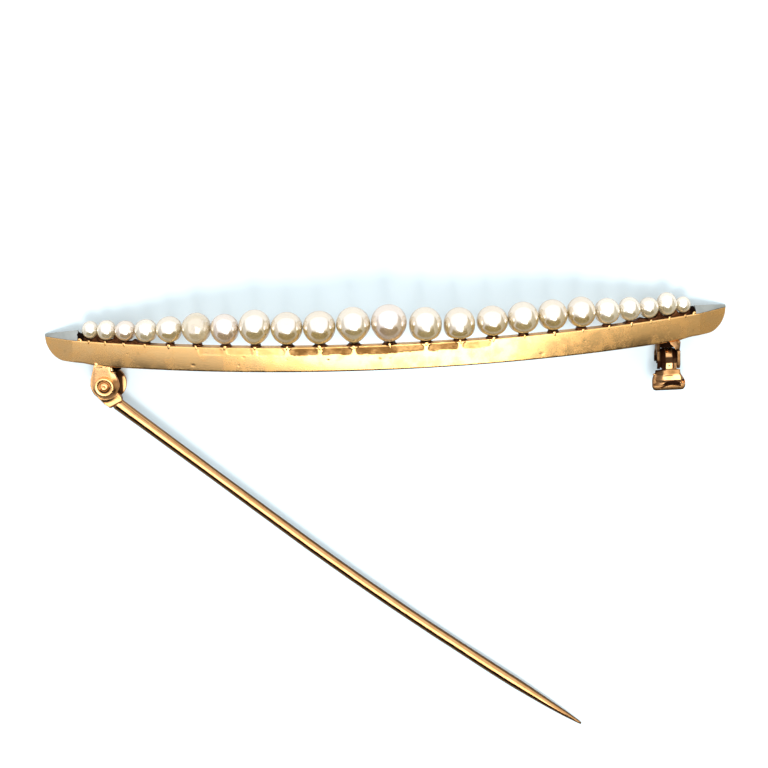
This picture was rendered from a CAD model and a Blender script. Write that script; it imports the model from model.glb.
"""Crescent brooch: arched gold bar, graduated pearls, platinum tips, a riveted pin and a turning catch.

Every size below is in millimetres in the brooch's own frame, with its origin on the middle line of the
arch: X runs from tip to tip, Y towards the pearls and Z outwards over the arch. Stance carries points
from there to the way the brooch stands, in metres.
"""

import logging
import math
from dataclasses import dataclass, field
from enum import Enum

import bpy
import numpy as np
from mathutils import Matrix, Vector

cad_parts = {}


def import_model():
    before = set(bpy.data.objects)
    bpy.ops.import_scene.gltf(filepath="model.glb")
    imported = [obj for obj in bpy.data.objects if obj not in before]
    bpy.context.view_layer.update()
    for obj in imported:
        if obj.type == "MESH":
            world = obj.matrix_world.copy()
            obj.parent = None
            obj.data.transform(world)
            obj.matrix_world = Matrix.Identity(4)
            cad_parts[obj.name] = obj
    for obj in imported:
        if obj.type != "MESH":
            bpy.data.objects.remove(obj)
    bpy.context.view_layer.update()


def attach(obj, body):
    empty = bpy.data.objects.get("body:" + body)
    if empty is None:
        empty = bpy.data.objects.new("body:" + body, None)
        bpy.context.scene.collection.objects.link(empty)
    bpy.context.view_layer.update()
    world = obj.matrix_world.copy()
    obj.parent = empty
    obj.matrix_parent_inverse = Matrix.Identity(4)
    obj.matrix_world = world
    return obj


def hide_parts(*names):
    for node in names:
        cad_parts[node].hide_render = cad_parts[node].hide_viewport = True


LOG = logging.getLogger("brooch")
MM = 0.001
FULL_TURN = 2 * math.pi
TIP = 27.5  # X of the right tip, and of the left one with its sign turned
BAR_EDGE = 1.0  # Y of the bar's edge under the pearls
BAR_FACE = 0.475  # distance from the arch to the bar's outer face
HINGE_X = 22.8  # distance of the hinge from the middle, to the left
HINGE_Y = 2.76  # distance of the hinge below the arch's line
CATCH_X = 22.5  # distance of the catch from the middle, to the right
CATCH_Y = 2.61  # distance of the catch below the arch's line

Colour = tuple[float, float, float, float]
Triple = tuple[float, float, float]
Pairs = tuple[tuple[float, float], ...]
Material = bpy.types.Material
Socket = bpy.types.NodeSocket


def turns(count: int) -> np.ndarray:
    """That many angles, spread evenly around a full turn."""
    return np.arange(count) / count * FULL_TURN


def latitudes(count: int) -> np.ndarray:
    """That many polar angles from one pole to the other, less the two poles, as a column."""
    return (np.linspace(0.0, 1.0, count)[1:-1] * math.pi)[:, None]


def quarter(count: int) -> np.ndarray:
    """That many angles over a quarter turn, with both its ends."""
    return np.linspace(0.0, math.pi / 2, count)


def about_x(x: np.ndarray, radius: np.ndarray, angle: np.ndarray) -> np.ndarray:
    """Points turned about X: x, the radius times the angle's cosine, and the radius times its sine."""
    return np.stack([x + 0 * angle, radius * np.cos(angle), radius * np.sin(angle)], -1)


def ease(low: float | np.ndarray, high: float | np.ndarray, x: np.ndarray) -> np.ndarray:
    """Smooth step at x: 0 below low, 1 above high, and 3t squared less 2t cubed between them."""
    t = np.clip((x - low) / (high - low), 0.0, 1.0)
    return t * t * (3.0 - 2.0 * t)


def drift(u: np.ndarray, v: np.ndarray, seed: int, cells: int = 97) -> np.ndarray:
    """Smooth random field: seeded heights on a lattice, blended between the four nearest by the smooth step.

    Args:
        u: First coordinate, in lattice cells.
        v: Second coordinate, in lattice cells.
        seed: Seed of the lattice.
        cells: Cells after which the lattice repeats.

    Returns:
        A height from -1 to 1 at each place.
    """
    heights = np.random.default_rng(seed).uniform(-1.0, 1.0, (cells, cells))
    u, v = np.broadcast_arrays(np.asarray(u, float), np.asarray(v, float))
    iu, iv = np.floor(u).astype(int), np.floor(v).astype(int)
    fu, fv = ease(0.0, 1.0, u - iu), ease(0.0, 1.0, v - iv)
    low = heights[iu % cells, iv % cells] * (1 - fu) + heights[(iu + 1) % cells, iv % cells] * fu
    top = heights[iu % cells, (iv + 1) % cells] * (1 - fu) + heights[(iu + 1) % cells, (iv + 1) % cells] * fu
    return low * (1 - fv) + top * fv


def soften(corners: np.ndarray, cut: float, steps: int) -> np.ndarray:
    """Rounds a polygon: each corner becomes a parabola that leaves both its edges at the same distance.

    Args:
        corners: Polygon corners, as (..., corners, 2).
        cut: Distance from a corner at which its rounding begins, at most 0.45 of the shorter edge.
        steps: Points along each rounding.

    Returns:
        The rounded ring, as (..., corners * steps, 2).
    """
    before = np.roll(corners, 1, axis=-2) - corners
    after = np.roll(corners, -1, axis=-2) - corners
    reach = 0.45 * np.minimum(np.linalg.norm(before, axis=-1), np.linalg.norm(after, axis=-1))
    reach = np.minimum(reach, cut)[..., None]
    start = corners + before / np.linalg.norm(before, axis=-1, keepdims=True).clip(1e-9) * reach
    end = corners + after / np.linalg.norm(after, axis=-1, keepdims=True).clip(1e-9) * reach
    t = np.linspace(0.0, 1.0, steps)[:, None]
    start, middle, end = (part[..., None, :] for part in (start, corners, end))
    curve = start * (1 - t) ** 2 + middle * 2 * t * (1 - t) + end * t**2
    return curve.reshape(*corners.shape[:-2], -1, 2)


def star_reach(angles: np.ndarray, corners: np.ndarray) -> np.ndarray:
    """Distance from the origin to the edges of a polygon, along rays.

    A ray meets the edge from P to Q at the distance (P cross Q) over (ray cross (Q less P)), and the
    farthest edge that it passes through is taken.

    Args:
        angles: Directions of the rays.
        corners: Corners in turning order, as (corners, 2).

    Returns:
        One distance for each ray, or 0 where it meets no edge.
    """
    first = corners[None, :, :]
    second = np.roll(corners, -1, axis=0)[None, :, :]
    ray = np.stack([np.cos(angles), np.sin(angles)], -1)[:, None, :]
    edge = second - first
    across = ray[..., 0] * edge[..., 1] - ray[..., 1] * edge[..., 0]
    safe = np.where(np.abs(across) < 1e-9, 1e-9, across)
    distance = (first[..., 0] * edge[..., 1] - first[..., 1] * edge[..., 0]) / safe
    along = (first[..., 0] * ray[..., 1] - first[..., 1] * ray[..., 0]) / safe
    met = (np.abs(across) > 1e-9) & (distance > 0) & (along >= -1e-6) & (along <= 1 + 1e-6)
    return np.where(met, distance, 0.0).max(axis=1)


@dataclass(frozen=True)
class Stance:
    """The way the brooch stands on the floor.

    Attributes:
        lean_deg: How far it is turned about X.
        lift: How far it is lifted then, in millimetres.
        shift: How far it is moved along Y, in millimetres.
    """

    lean_deg: float = 3.012732
    lift: float = 6.768945
    shift: float = 15.106955

    def turn(self, vectors: np.ndarray) -> np.ndarray:
        """Turns directions of the brooch's frame to the standing frame.

        Args:
            vectors: Directions, as (..., 3).

        Returns:
            The turned directions.
        """
        sin, cos = math.sin(math.radians(self.lean_deg)), math.cos(math.radians(self.lean_deg))
        x, y, z = vectors[..., 0], vectors[..., 1], vectors[..., 2]
        return np.stack([x, y * cos - z * sin, y * sin + z * cos], -1)

    def stand(self, points: np.ndarray) -> np.ndarray:
        """Carries points from the brooch's frame, in millimetres, to the standing frame, in metres."""
        return (self.turn(points) + np.array([0.0, self.shift, self.lift])) * MM


@dataclass(frozen=True)
class Arch:
    """The middle line of the crescent: an arc whose top is the origin.

    Attributes:
        radius: Its radius.
    """

    radius: float = 59.7

    def at(
        self, along: np.ndarray, y: np.ndarray, out: np.ndarray, upright: np.ndarray | float = 0.0
    ) -> np.ndarray:
        """Points beside the middle line: its point at that distance, plus y along Y and out along its normal.

        Args:
            along: Distance along the line from its top.
            y: Distance towards the pearls.
            out: Distance outwards from the line.
            upright: How far the normal is turned back to Z, from 0 to 1.

        Returns:
            Points, as (..., 3).
        """
        along, y, out, upright = np.broadcast_arrays(along, y, out, upright)
        angle = along / self.radius
        tilt = angle * (1 - upright)
        x = self.radius * np.sin(angle) + out * np.sin(tilt)
        z = self.radius * (np.cos(angle) - 1) + out * np.cos(tilt)
        return np.stack([x, y, z], -1)

    def turn_to(self, along: float, points: np.ndarray) -> np.ndarray:
        """Turns points about Y until their Z lies along the line's normal.

        Args:
            along: Distance along the line from its top.
            points: Points, as (..., 3).

        Returns:
            The turned points.
        """
        sin, cos = math.sin(along / self.radius), math.cos(along / self.radius)
        x, y, z = np.moveaxis(points, -1, 0)
        return np.stack([x * cos + z * sin, y, z * cos - x * sin], -1)

    def length_to(self, x: float) -> float:
        """Distance along the line at which it reaches x."""
        return self.radius * math.asin(x / self.radius)

    def height(self, x: float) -> float:
        """Height of the line at x."""
        return math.sqrt(self.radius**2 - x**2) - self.radius


@dataclass
class Fitting:
    """What every part of the brooch shares.

    Attributes:
        arch: The crescent's middle line, which it is built on.
        stance: How the brooch stands.
    """

    arch: Arch = Arch()
    stance: Stance = Stance()


@dataclass
class Shell:
    """One closed surface, with faces that point outwards.

    Attributes:
        points: Vertices, as (points, 3).
        quads: Four-sided faces.
        tris: Three-sided faces.
        marks: Values at the vertices, by name, that a material reads.
    """

    points: np.ndarray
    quads: np.ndarray
    tris: np.ndarray
    marks: dict[str, np.ndarray] = field(default_factory=dict)

    def __post_init__(self) -> None:
        """Turns the faces over where the volume that they enclose comes out negative."""
        split = np.concatenate([self.quads[:, [0, 1, 2]], self.quads[:, [0, 2, 3]], self.tris])
        a, b, c = (self.points[split[:, k]] for k in range(3))
        if np.einsum("ij,ij->", a, np.cross(b, c)) < 0:
            self.quads = self.quads[:, ::-1]
            self.tris = self.tris[:, ::-1]

    @staticmethod
    def _sides(rows: int, ring: int, wrap: bool) -> np.ndarray:
        """Quads between each ring and the next.

        Args:
            rows: How many rings there are.
            ring: Points in a ring.
            wrap: Whether the last ring is joined to the first.

        Returns:
            The quads' vertex numbers, as (quads, 4).
        """
        row = np.arange(rows if wrap else rows - 1)[:, None]
        col = np.arange(ring)[None, :]
        onward, side = (row + 1) % rows, (col + 1) % ring
        corners = [row * ring + col, row * ring + side, onward * ring + side, onward * ring + col]
        return np.stack(corners, -1).reshape(-1, 4)

    @classmethod
    def lofted(cls, rings: np.ndarray, marks: dict[str, np.ndarray] | None = None) -> "Shell":
        """Surface through a row of closed rings, with each end closed by a fan to the middle of its ring.

        Args:
            rings: Points, as (rows, ring, 3).
            marks: Values, as (rows, ring).

        Returns:
            The closed shell.
        """
        rows, ring = rings.shape[:2]
        points = np.concatenate([rings.reshape(-1, 3), rings[0].mean(0)[None], rings[-1].mean(0)[None]])
        col = np.arange(ring)
        side = (col + 1) % ring
        first = np.stack([np.full(ring, rows * ring), side, col], -1)
        last_row = (rows - 1) * ring
        last = np.stack([np.full(ring, rows * ring + 1), last_row + col, last_row + side], -1)
        flat = {}
        for name, mark in (marks or {}).items():
            flat[name] = np.concatenate([mark.reshape(-1), [mark[0].mean(), mark[-1].mean()]])
        return cls(points, cls._sides(rows, ring, False), np.concatenate([first, last]), flat)

    @classmethod
    def wrapped(cls, rings: np.ndarray) -> "Shell":
        """Surface through closed rings whose last is followed by the first, as on a drilled plate."""
        rows, ring = rings.shape[:2]
        return cls(rings.reshape(-1, 3), cls._sides(rows, ring, True), np.zeros((0, 3), int))

    @classmethod
    def turned(cls, radius: np.ndarray, height: np.ndarray, around: int) -> "Shell":
        """Surface of revolution about Z: a ring of each radius at each height.

        Args:
            radius: Radii from one end to the other.
            height: Height of each ring.
            around: Points in a ring.

        Returns:
            The closed shell.
        """
        angle = turns(around)
        radius, height = np.asarray(radius, float)[:, None], np.asarray(height, float)[:, None]
        x, y = radius * np.cos(angle), radius * np.sin(angle)
        return cls.lofted(np.stack([x, y, np.broadcast_to(height, x.shape)], -1))

    def moved(self, place: np.ndarray) -> "Shell":
        """The same shell with its points replaced, and its faces turned to suit."""
        return Shell(place, self.quads, self.tris, self.marks)


def put_in_scene(name: str, data: bpy.types.ID) -> bpy.types.Object:
    """Makes an object of a mesh, camera or lamp.

    Args:
        name: Its name.
        data: What it shows.

    Returns:
        The object, linked to the scene.
    """
    thing = bpy.data.objects.new(name, data)
    bpy.context.scene.collection.objects.link(thing)
    return thing


@dataclass(frozen=True)
class Piece:
    """A visible piece of the brooch: its shells, and how it is dressed and carried.

    Attributes:
        name: Its name.
        shells: The closed surfaces it is made of.
        material: Its finish.
        body: The body that it rides on.
        slot: The record's material slot that it belongs to.
        stands_for: The CAD nodes that it replaces.
        crease_deg: Angle from which an edge is sharp.
    """

    name: str
    shells: list[Shell]
    material: Material
    body: str = "crescent"
    slot: str = "yellow_gold"
    stands_for: tuple[str, ...] = ()
    crease_deg: float = 40.0

    def make(self, stance: Stance) -> None:
        """Makes the object: its shells in one mesh, smooth but for edges sharper than the crease angle.

        Args:
            stance: How the brooch stands.
        """
        starts = np.cumsum([0] + [len(s.points) for s in self.shells])
        points = stance.stand(np.concatenate([s.points for s in self.shells]))
        faces = []
        for shell, start in zip(self.shells, starts):
            faces += (shell.quads + start).tolist() + (shell.tris + start).tolist()
        mesh = bpy.data.meshes.new(self.name)
        mesh.from_pydata(points.tolist(), [], faces)
        for mark in sorted({k for s in self.shells for k in s.marks}):
            values = np.concatenate([s.marks.get(mark, np.zeros(len(s.points))) for s in self.shells])
            mesh.attributes.new(mark, "FLOAT", "POINT").data.foreach_set("value", values.astype(np.float32))
        mesh.validate()
        mesh.shade_smooth()
        mesh.set_sharp_from_angle(angle=math.radians(self.crease_deg))
        mesh.materials.append(self.material)
        thing = put_in_scene(self.name, mesh)
        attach(thing, self.body)
        if self.stands_for:
            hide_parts(*self.stands_for)
        LOG.info("%s: %d faces on %s", self.name, len(mesh.polygons), self.body)


class Graph:
    """A short way to lay out shader nodes in a material, a group or the world."""

    def __init__(self, tree: bpy.types.NodeTree) -> None:
        """Starts on an empty tree."""
        self.tree = tree
        tree.nodes.clear()

    def add(
        self, kind: str, inputs: dict[str | int, object] | None = None, **settings: object
    ) -> bpy.types.Node:
        """Adds a node, sets its settings, and fills or links its inputs.

        Args:
            kind: Blender's name of the node type.
            inputs: Values, or sockets to link from, by the input's name or number.
            settings: Properties of the node.

        Returns:
            The new node.
        """
        node = self.tree.nodes.new(kind)
        for key, value in settings.items():
            setattr(node, key, value)
        for key, value in (inputs or {}).items():
            if isinstance(value, Socket):
                self.tree.links.new(value, node.inputs[key])
            else:
                node.inputs[key].default_value = value
        return node

    def math(self, operation: str, *values: object) -> Socket:
        """Adds a Math node on these values or sockets, and returns its result."""
        return self.add("ShaderNodeMath", dict(enumerate(values)), operation=operation).outputs[0]

    def remap(self, value: object, low: float, high: float, to_low: float, to_high: float) -> Socket:
        """Adds a smooth, clamped Map Range from one span to another, and returns its result."""
        inputs = {0: value, 1: low, 2: high, 3: to_low, 4: to_high}
        return self.add("ShaderNodeMapRange", inputs, interpolation_type="SMOOTHSTEP", clamp=True).outputs[0]

    def blend(self, share: object, first: object, second: object, mode: str = "MIX") -> Socket:
        """Adds a colour Mix node of that mode, and returns its result."""
        inputs = {0: share, 6: first, 7: second}
        return self.add("ShaderNodeMix", inputs, data_type="RGBA", blend_type=mode).outputs[2]


def new_material(name: str) -> tuple[Material, Graph, Socket]:
    """Starts a material.

    Args:
        name: Its name.

    Returns:
        The material, its empty graph, and the place on the piece in metres.
    """
    made = bpy.data.materials.new(name)
    made.use_nodes = True
    graph = Graph(made.node_tree)
    return made, graph, graph.add("ShaderNodeTexCoord").outputs["Object"]


def surface_grain() -> bpy.types.NodeTree:
    """Shader group shared by the metals: soft mottling, fine lines along one direction and small specks.

    Returns:
        The group, with inputs Coords (millimetres), Cloud Size, Line Stretch, Line Size and Speck Size, and
        outputs Cloud, Lines and Specks, each from 0 to 1.
    """
    tree = bpy.data.node_groups.new("surface_grain", "ShaderNodeTree")
    graph = Graph(tree)
    sizes = ("Cloud Size", "Line Stretch", "Line Size", "Speck Size")
    tree.interface.new_socket("Coords", in_out="INPUT", socket_type="NodeSocketVector")
    for name in sizes:
        tree.interface.new_socket(name, in_out="INPUT", socket_type="NodeSocketFloat")
    for name in ("Cloud", "Lines", "Specks"):
        tree.interface.new_socket(name, in_out="OUTPUT", socket_type="NodeSocketFloat")
    given = graph.add("NodeGroupInput").outputs
    coords = given["Coords"]
    scale = {name: graph.math("DIVIDE", 1.0, given[name]) for name in sizes}
    cloud_inputs = {"Vector": coords, "Scale": scale["Cloud Size"], "Detail": 4.0, "Roughness": 0.6}
    cloud = graph.add("ShaderNodeTexNoise", cloud_inputs)
    stretch = graph.add("ShaderNodeCombineXYZ", {0: scale["Line Stretch"], 1: 1.0, 2: 1.0}).outputs[0]
    along = graph.add("ShaderNodeVectorMath", {0: coords, 1: stretch}, operation="MULTIPLY").outputs[0]
    line_inputs = {"Vector": along, "Scale": scale["Line Size"], "Detail": 3.0, "Roughness": 0.65}
    lines = graph.add("ShaderNodeTexNoise", line_inputs)
    speck_inputs = {"Vector": coords, "Scale": scale["Speck Size"], "Randomness": 1.0}
    specks = graph.add("ShaderNodeTexVoronoi", speck_inputs)
    outputs = {
        "Cloud": cloud.outputs["Fac"],
        "Lines": lines.outputs["Fac"],
        "Specks": graph.remap(specks.outputs["Distance"], 0.05, 0.16, 1.0, 0.0),
    }
    graph.add("NodeGroupOutput", outputs)
    return tree


@dataclass(frozen=True)
class Metal:
    """A worked precious metal with mottling, fine file lines, specks and the dirt that sits in its corners.

    Attributes:
        name: Name of the material.
        tone: Reflected colour.
        warm: Colour of the warmer patches.
        dirt: Colour of tarnished places.
        filed: Colour of filed places.
        rough: Roughness of the polished places.
        rough_more: How much rougher the dullest places are.
        cloud: Size of the mottling.
        line: Width of the file lines.
        stretch: Length of the file lines, in widths.
        heading_deg: Direction of the lines in the ground plane.
        bump: Height of the lines and mottling.
        speck: Spacing of the specks.
        speck_share: How dark the specks are.
        marked: Whether the mesh carries the marks "filed" and "tarnish".
    """

    name: str
    tone: Colour
    warm: Colour
    dirt: Colour = (0.07, 0.018, 0.004, 1.0)
    filed: Colour = (0.19, 0.09, 0.025, 1.0)
    rough: float = 0.16
    rough_more: float = 0.14
    cloud: float = 1.1
    line: float = 0.06
    stretch: float = 14.0
    heading_deg: float = 0.0
    bump: float = 0.006
    speck: float = 1.3
    speck_share: float = 0.12
    marked: bool = False

    def material(self, grain: bpy.types.NodeTree) -> Material:
        """Builds the material.

        Args:
            grain: The group made by surface_grain.

        Returns:
            The material.
        """
        made, graph, place = new_material(self.name)
        heading = (0.0, 0.0, math.radians(self.heading_deg))
        mapping = {"Vector": place, "Rotation": heading, "Scale": (1 / MM,) * 3}
        coords = graph.add("ShaderNodeMapping", mapping)
        values = {
            "Coords": coords.outputs[0],
            "Cloud Size": self.cloud,
            "Line Stretch": self.stretch,
            "Line Size": self.line,
            "Speck Size": self.speck,
        }
        group = graph.add("ShaderNodeGroup", values, node_tree=grain)
        cloud, lines, specks = (group.outputs[k] for k in ("Cloud", "Lines", "Specks"))
        colour = graph.blend(graph.remap(cloud, 0.4, 0.65, 0.0, 0.75), self.tone, self.warm)
        colour = graph.blend(graph.math("MULTIPLY", specks, self.speck_share), colour, self.dirt)
        rough = graph.remap(cloud, 0.35, 0.7, self.rough, self.rough + self.rough_more)
        rough = graph.math("ADD", rough, graph.remap(lines, 0.45, 0.75, 0.0, 0.05))
        metallic: object = 1.0
        mirror: object = 0.2
        if self.marked:
            filed = graph.add("ShaderNodeAttribute", attribute_name="filed").outputs["Fac"]
            tarnish = graph.add("ShaderNodeAttribute", attribute_name="tarnish").outputs["Fac"]
            uneven = graph.remap(cloud, 0.35, 0.65, 0.72, 1.0)
            colour = graph.blend(graph.math("MULTIPLY", filed, uneven), colour, self.filed)
            colour = graph.blend(tarnish, colour, self.dirt)
            rough = graph.math("ADD", rough, graph.math("MULTIPLY", filed, 0.28))
            rough = graph.math("ADD", rough, graph.math("MULTIPLY", tarnish, 0.3))
            metallic = graph.remap(tarnish, 0.2, 0.9, 1.0, 0.1)
            mirror = graph.remap(tarnish, 0.2, 0.9, 0.2, 0.03)
        height = graph.math("ADD", graph.math("MULTIPLY", lines, 0.6), cloud)
        relief = graph.add("ShaderNodeBump", {"Height": height, "Strength": 1.0, "Distance": self.bump * MM})
        shader = graph.add(
            "ShaderNodeBsdfPrincipled",
            {"Base Color": colour, "Metallic": metallic, "Roughness": rough, "Normal": relief.outputs[0]},
        )
        if self.marked:
            graph.tree.links.new(mirror, shader.inputs["Specular IOR Level"])
        else:
            shader.inputs["Specular IOR Level"].default_value = mirror
        graph.add("ShaderNodeOutputMaterial", {"Surface": shader.outputs[0]})
        return made


class PearlTone(Enum):
    """Body colours in the row, from the whitest to the darkest: the nacre, and the tint of its patches."""

    WHITE = ((0.58, 0.46, 0.25, 1.0), (0.52, 0.39, 0.20, 1.0))
    IVORY = ((0.51, 0.36, 0.14, 1.0), (0.46, 0.32, 0.12, 1.0))
    CREAM = ((0.50, 0.33, 0.10, 1.0), (0.44, 0.29, 0.09, 1.0))
    ROSE = ((0.51, 0.34, 0.17, 1.0), (0.46, 0.30, 0.16, 1.0))
    CHAMPAGNE = ((0.52, 0.40, 0.22, 1.0), (0.42, 0.31, 0.16, 1.0))


@dataclass(frozen=True)
class Nacre:
    """The pearls' finish: a lustrous, partly mirroring nacre over a soft body, with cloudy patches.

    Attributes:
        tone: Its body colour.
        lustre: Index of refraction of the body, which sets how much it mirrors.
        coat: Index of refraction of the coat.
        rough: Roughness of the body.
        coat_rough: Roughness of the coat.
        patch: Size of the patches.
        skin: Size of the ripples.
        ripple: Height of the ripples.
    """

    tone: PearlTone
    lustre: float = 3.4
    coat: float = 3.8
    rough: float = 0.20
    coat_rough: float = 0.14
    patch: float = 1.1
    skin: float = 0.3125
    ripple: float = 0.0008

    def material(self) -> Material:
        """Builds the material.

        Returns:
            The material of this tone.
        """
        made, graph, place = new_material("nacre_" + self.tone.name.lower())
        coords = graph.add("ShaderNodeMapping", {"Vector": place, "Scale": (1 / MM,) * 3}).outputs[0]
        patches = graph.add("ShaderNodeTexNoise", {"Vector": coords, "Scale": 1 / self.patch, "Detail": 2.0})
        skin = graph.add("ShaderNodeTexNoise", {"Vector": coords, "Scale": 1 / self.skin, "Detail": 3.0})
        body, tint = self.tone.value
        colour = graph.blend(graph.remap(patches.outputs["Fac"], 0.38, 0.62, 0.0, 1.0), body, tint)
        rough = graph.remap(patches.outputs["Fac"], 0.35, 0.7, self.rough, self.rough + 0.06)
        relief = graph.add("ShaderNodeBump", {"Height": skin.outputs["Fac"], "Distance": self.ripple * MM})
        inputs = {
            "Base Color": colour,
            "IOR": self.lustre,
            "Roughness": rough,
            "Normal": relief.outputs[0],
            "Coat Weight": 1.0,
            "Coat Roughness": self.coat_rough,
            "Coat IOR": self.coat,
        }
        shader = graph.add("ShaderNodeBsdfPrincipled", inputs)
        graph.add("ShaderNodeOutputMaterial", {"Surface": shader.outputs[0]})
        return made


@dataclass(frozen=True)
class BrightPaper:
    """The floor's finish: matt white paper with faint clouds, which returns less light behind the brooch.

    Attributes:
        white: Its colour as the camera sees it.
        cloud: Colour of the clouds.
        lit: What it returns to the metal before the pearls.
        dim: What it returns to the metal behind them, where the room is darker.
        turn: Where, in metres along Y, the one passes into the other.
        fibre: How many clouds lie on a metre.
    """

    white: Colour = (0.80, 0.915, 0.965, 1.0)
    cloud: Colour = (0.79, 0.90, 0.95, 1.0)
    lit: Colour = (0.80, 0.80, 0.80, 1.0)
    dim: Colour = (0.14, 0.14, 0.14, 1.0)
    turn: tuple[float, float] = (0.006, 0.022)
    fibre: float = 90.0

    def material(self) -> Material:
        """Builds the material.

        Returns:
            The material.
        """
        made, graph, place = new_material("bright_paper")
        fibre = graph.add("ShaderNodeTexNoise", {"Vector": place, "Scale": self.fibre, "Detail": 3.0})
        seen = graph.blend(fibre.outputs["Fac"], self.white, self.cloud)
        forward = graph.add("ShaderNodeSeparateXYZ", {0: place}).outputs[1]
        returned = graph.blend(graph.remap(forward, *self.turn, 0.0, 1.0), self.dim, self.lit)
        colour = graph.blend(graph.add("ShaderNodeLightPath").outputs["Is Camera Ray"], returned, seen)
        shader = graph.add("ShaderNodeBsdfPrincipled", {"Base Color": colour, "Roughness": 0.9})
        graph.add("ShaderNodeOutputMaterial", {"Surface": shader.outputs[0]})
        return made


@dataclass(frozen=True)
class Pearl:
    """One pearl: its width along the row, how much taller it is, its shape and its tone.

    Attributes:
        wide: Width along the row.
        tall: How much its height passes its width.
        taper: How far its lower half draws in like a drop.
        flat: How square its lower half is.
        lean: How far it leans along the row, in degrees.
        tone: Its body colour.
        pit: Whether it has a small pit on its outer side.
    """

    wide: float
    tall: float
    taper: float = 0.0
    flat: float = 0.0
    lean: float = 0.0
    tone: PearlTone = PearlTone.IVORY
    pit: bool = False


WHITE, IVORY, CREAM, ROSE, CHAMPAGNE = PearlTone


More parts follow.
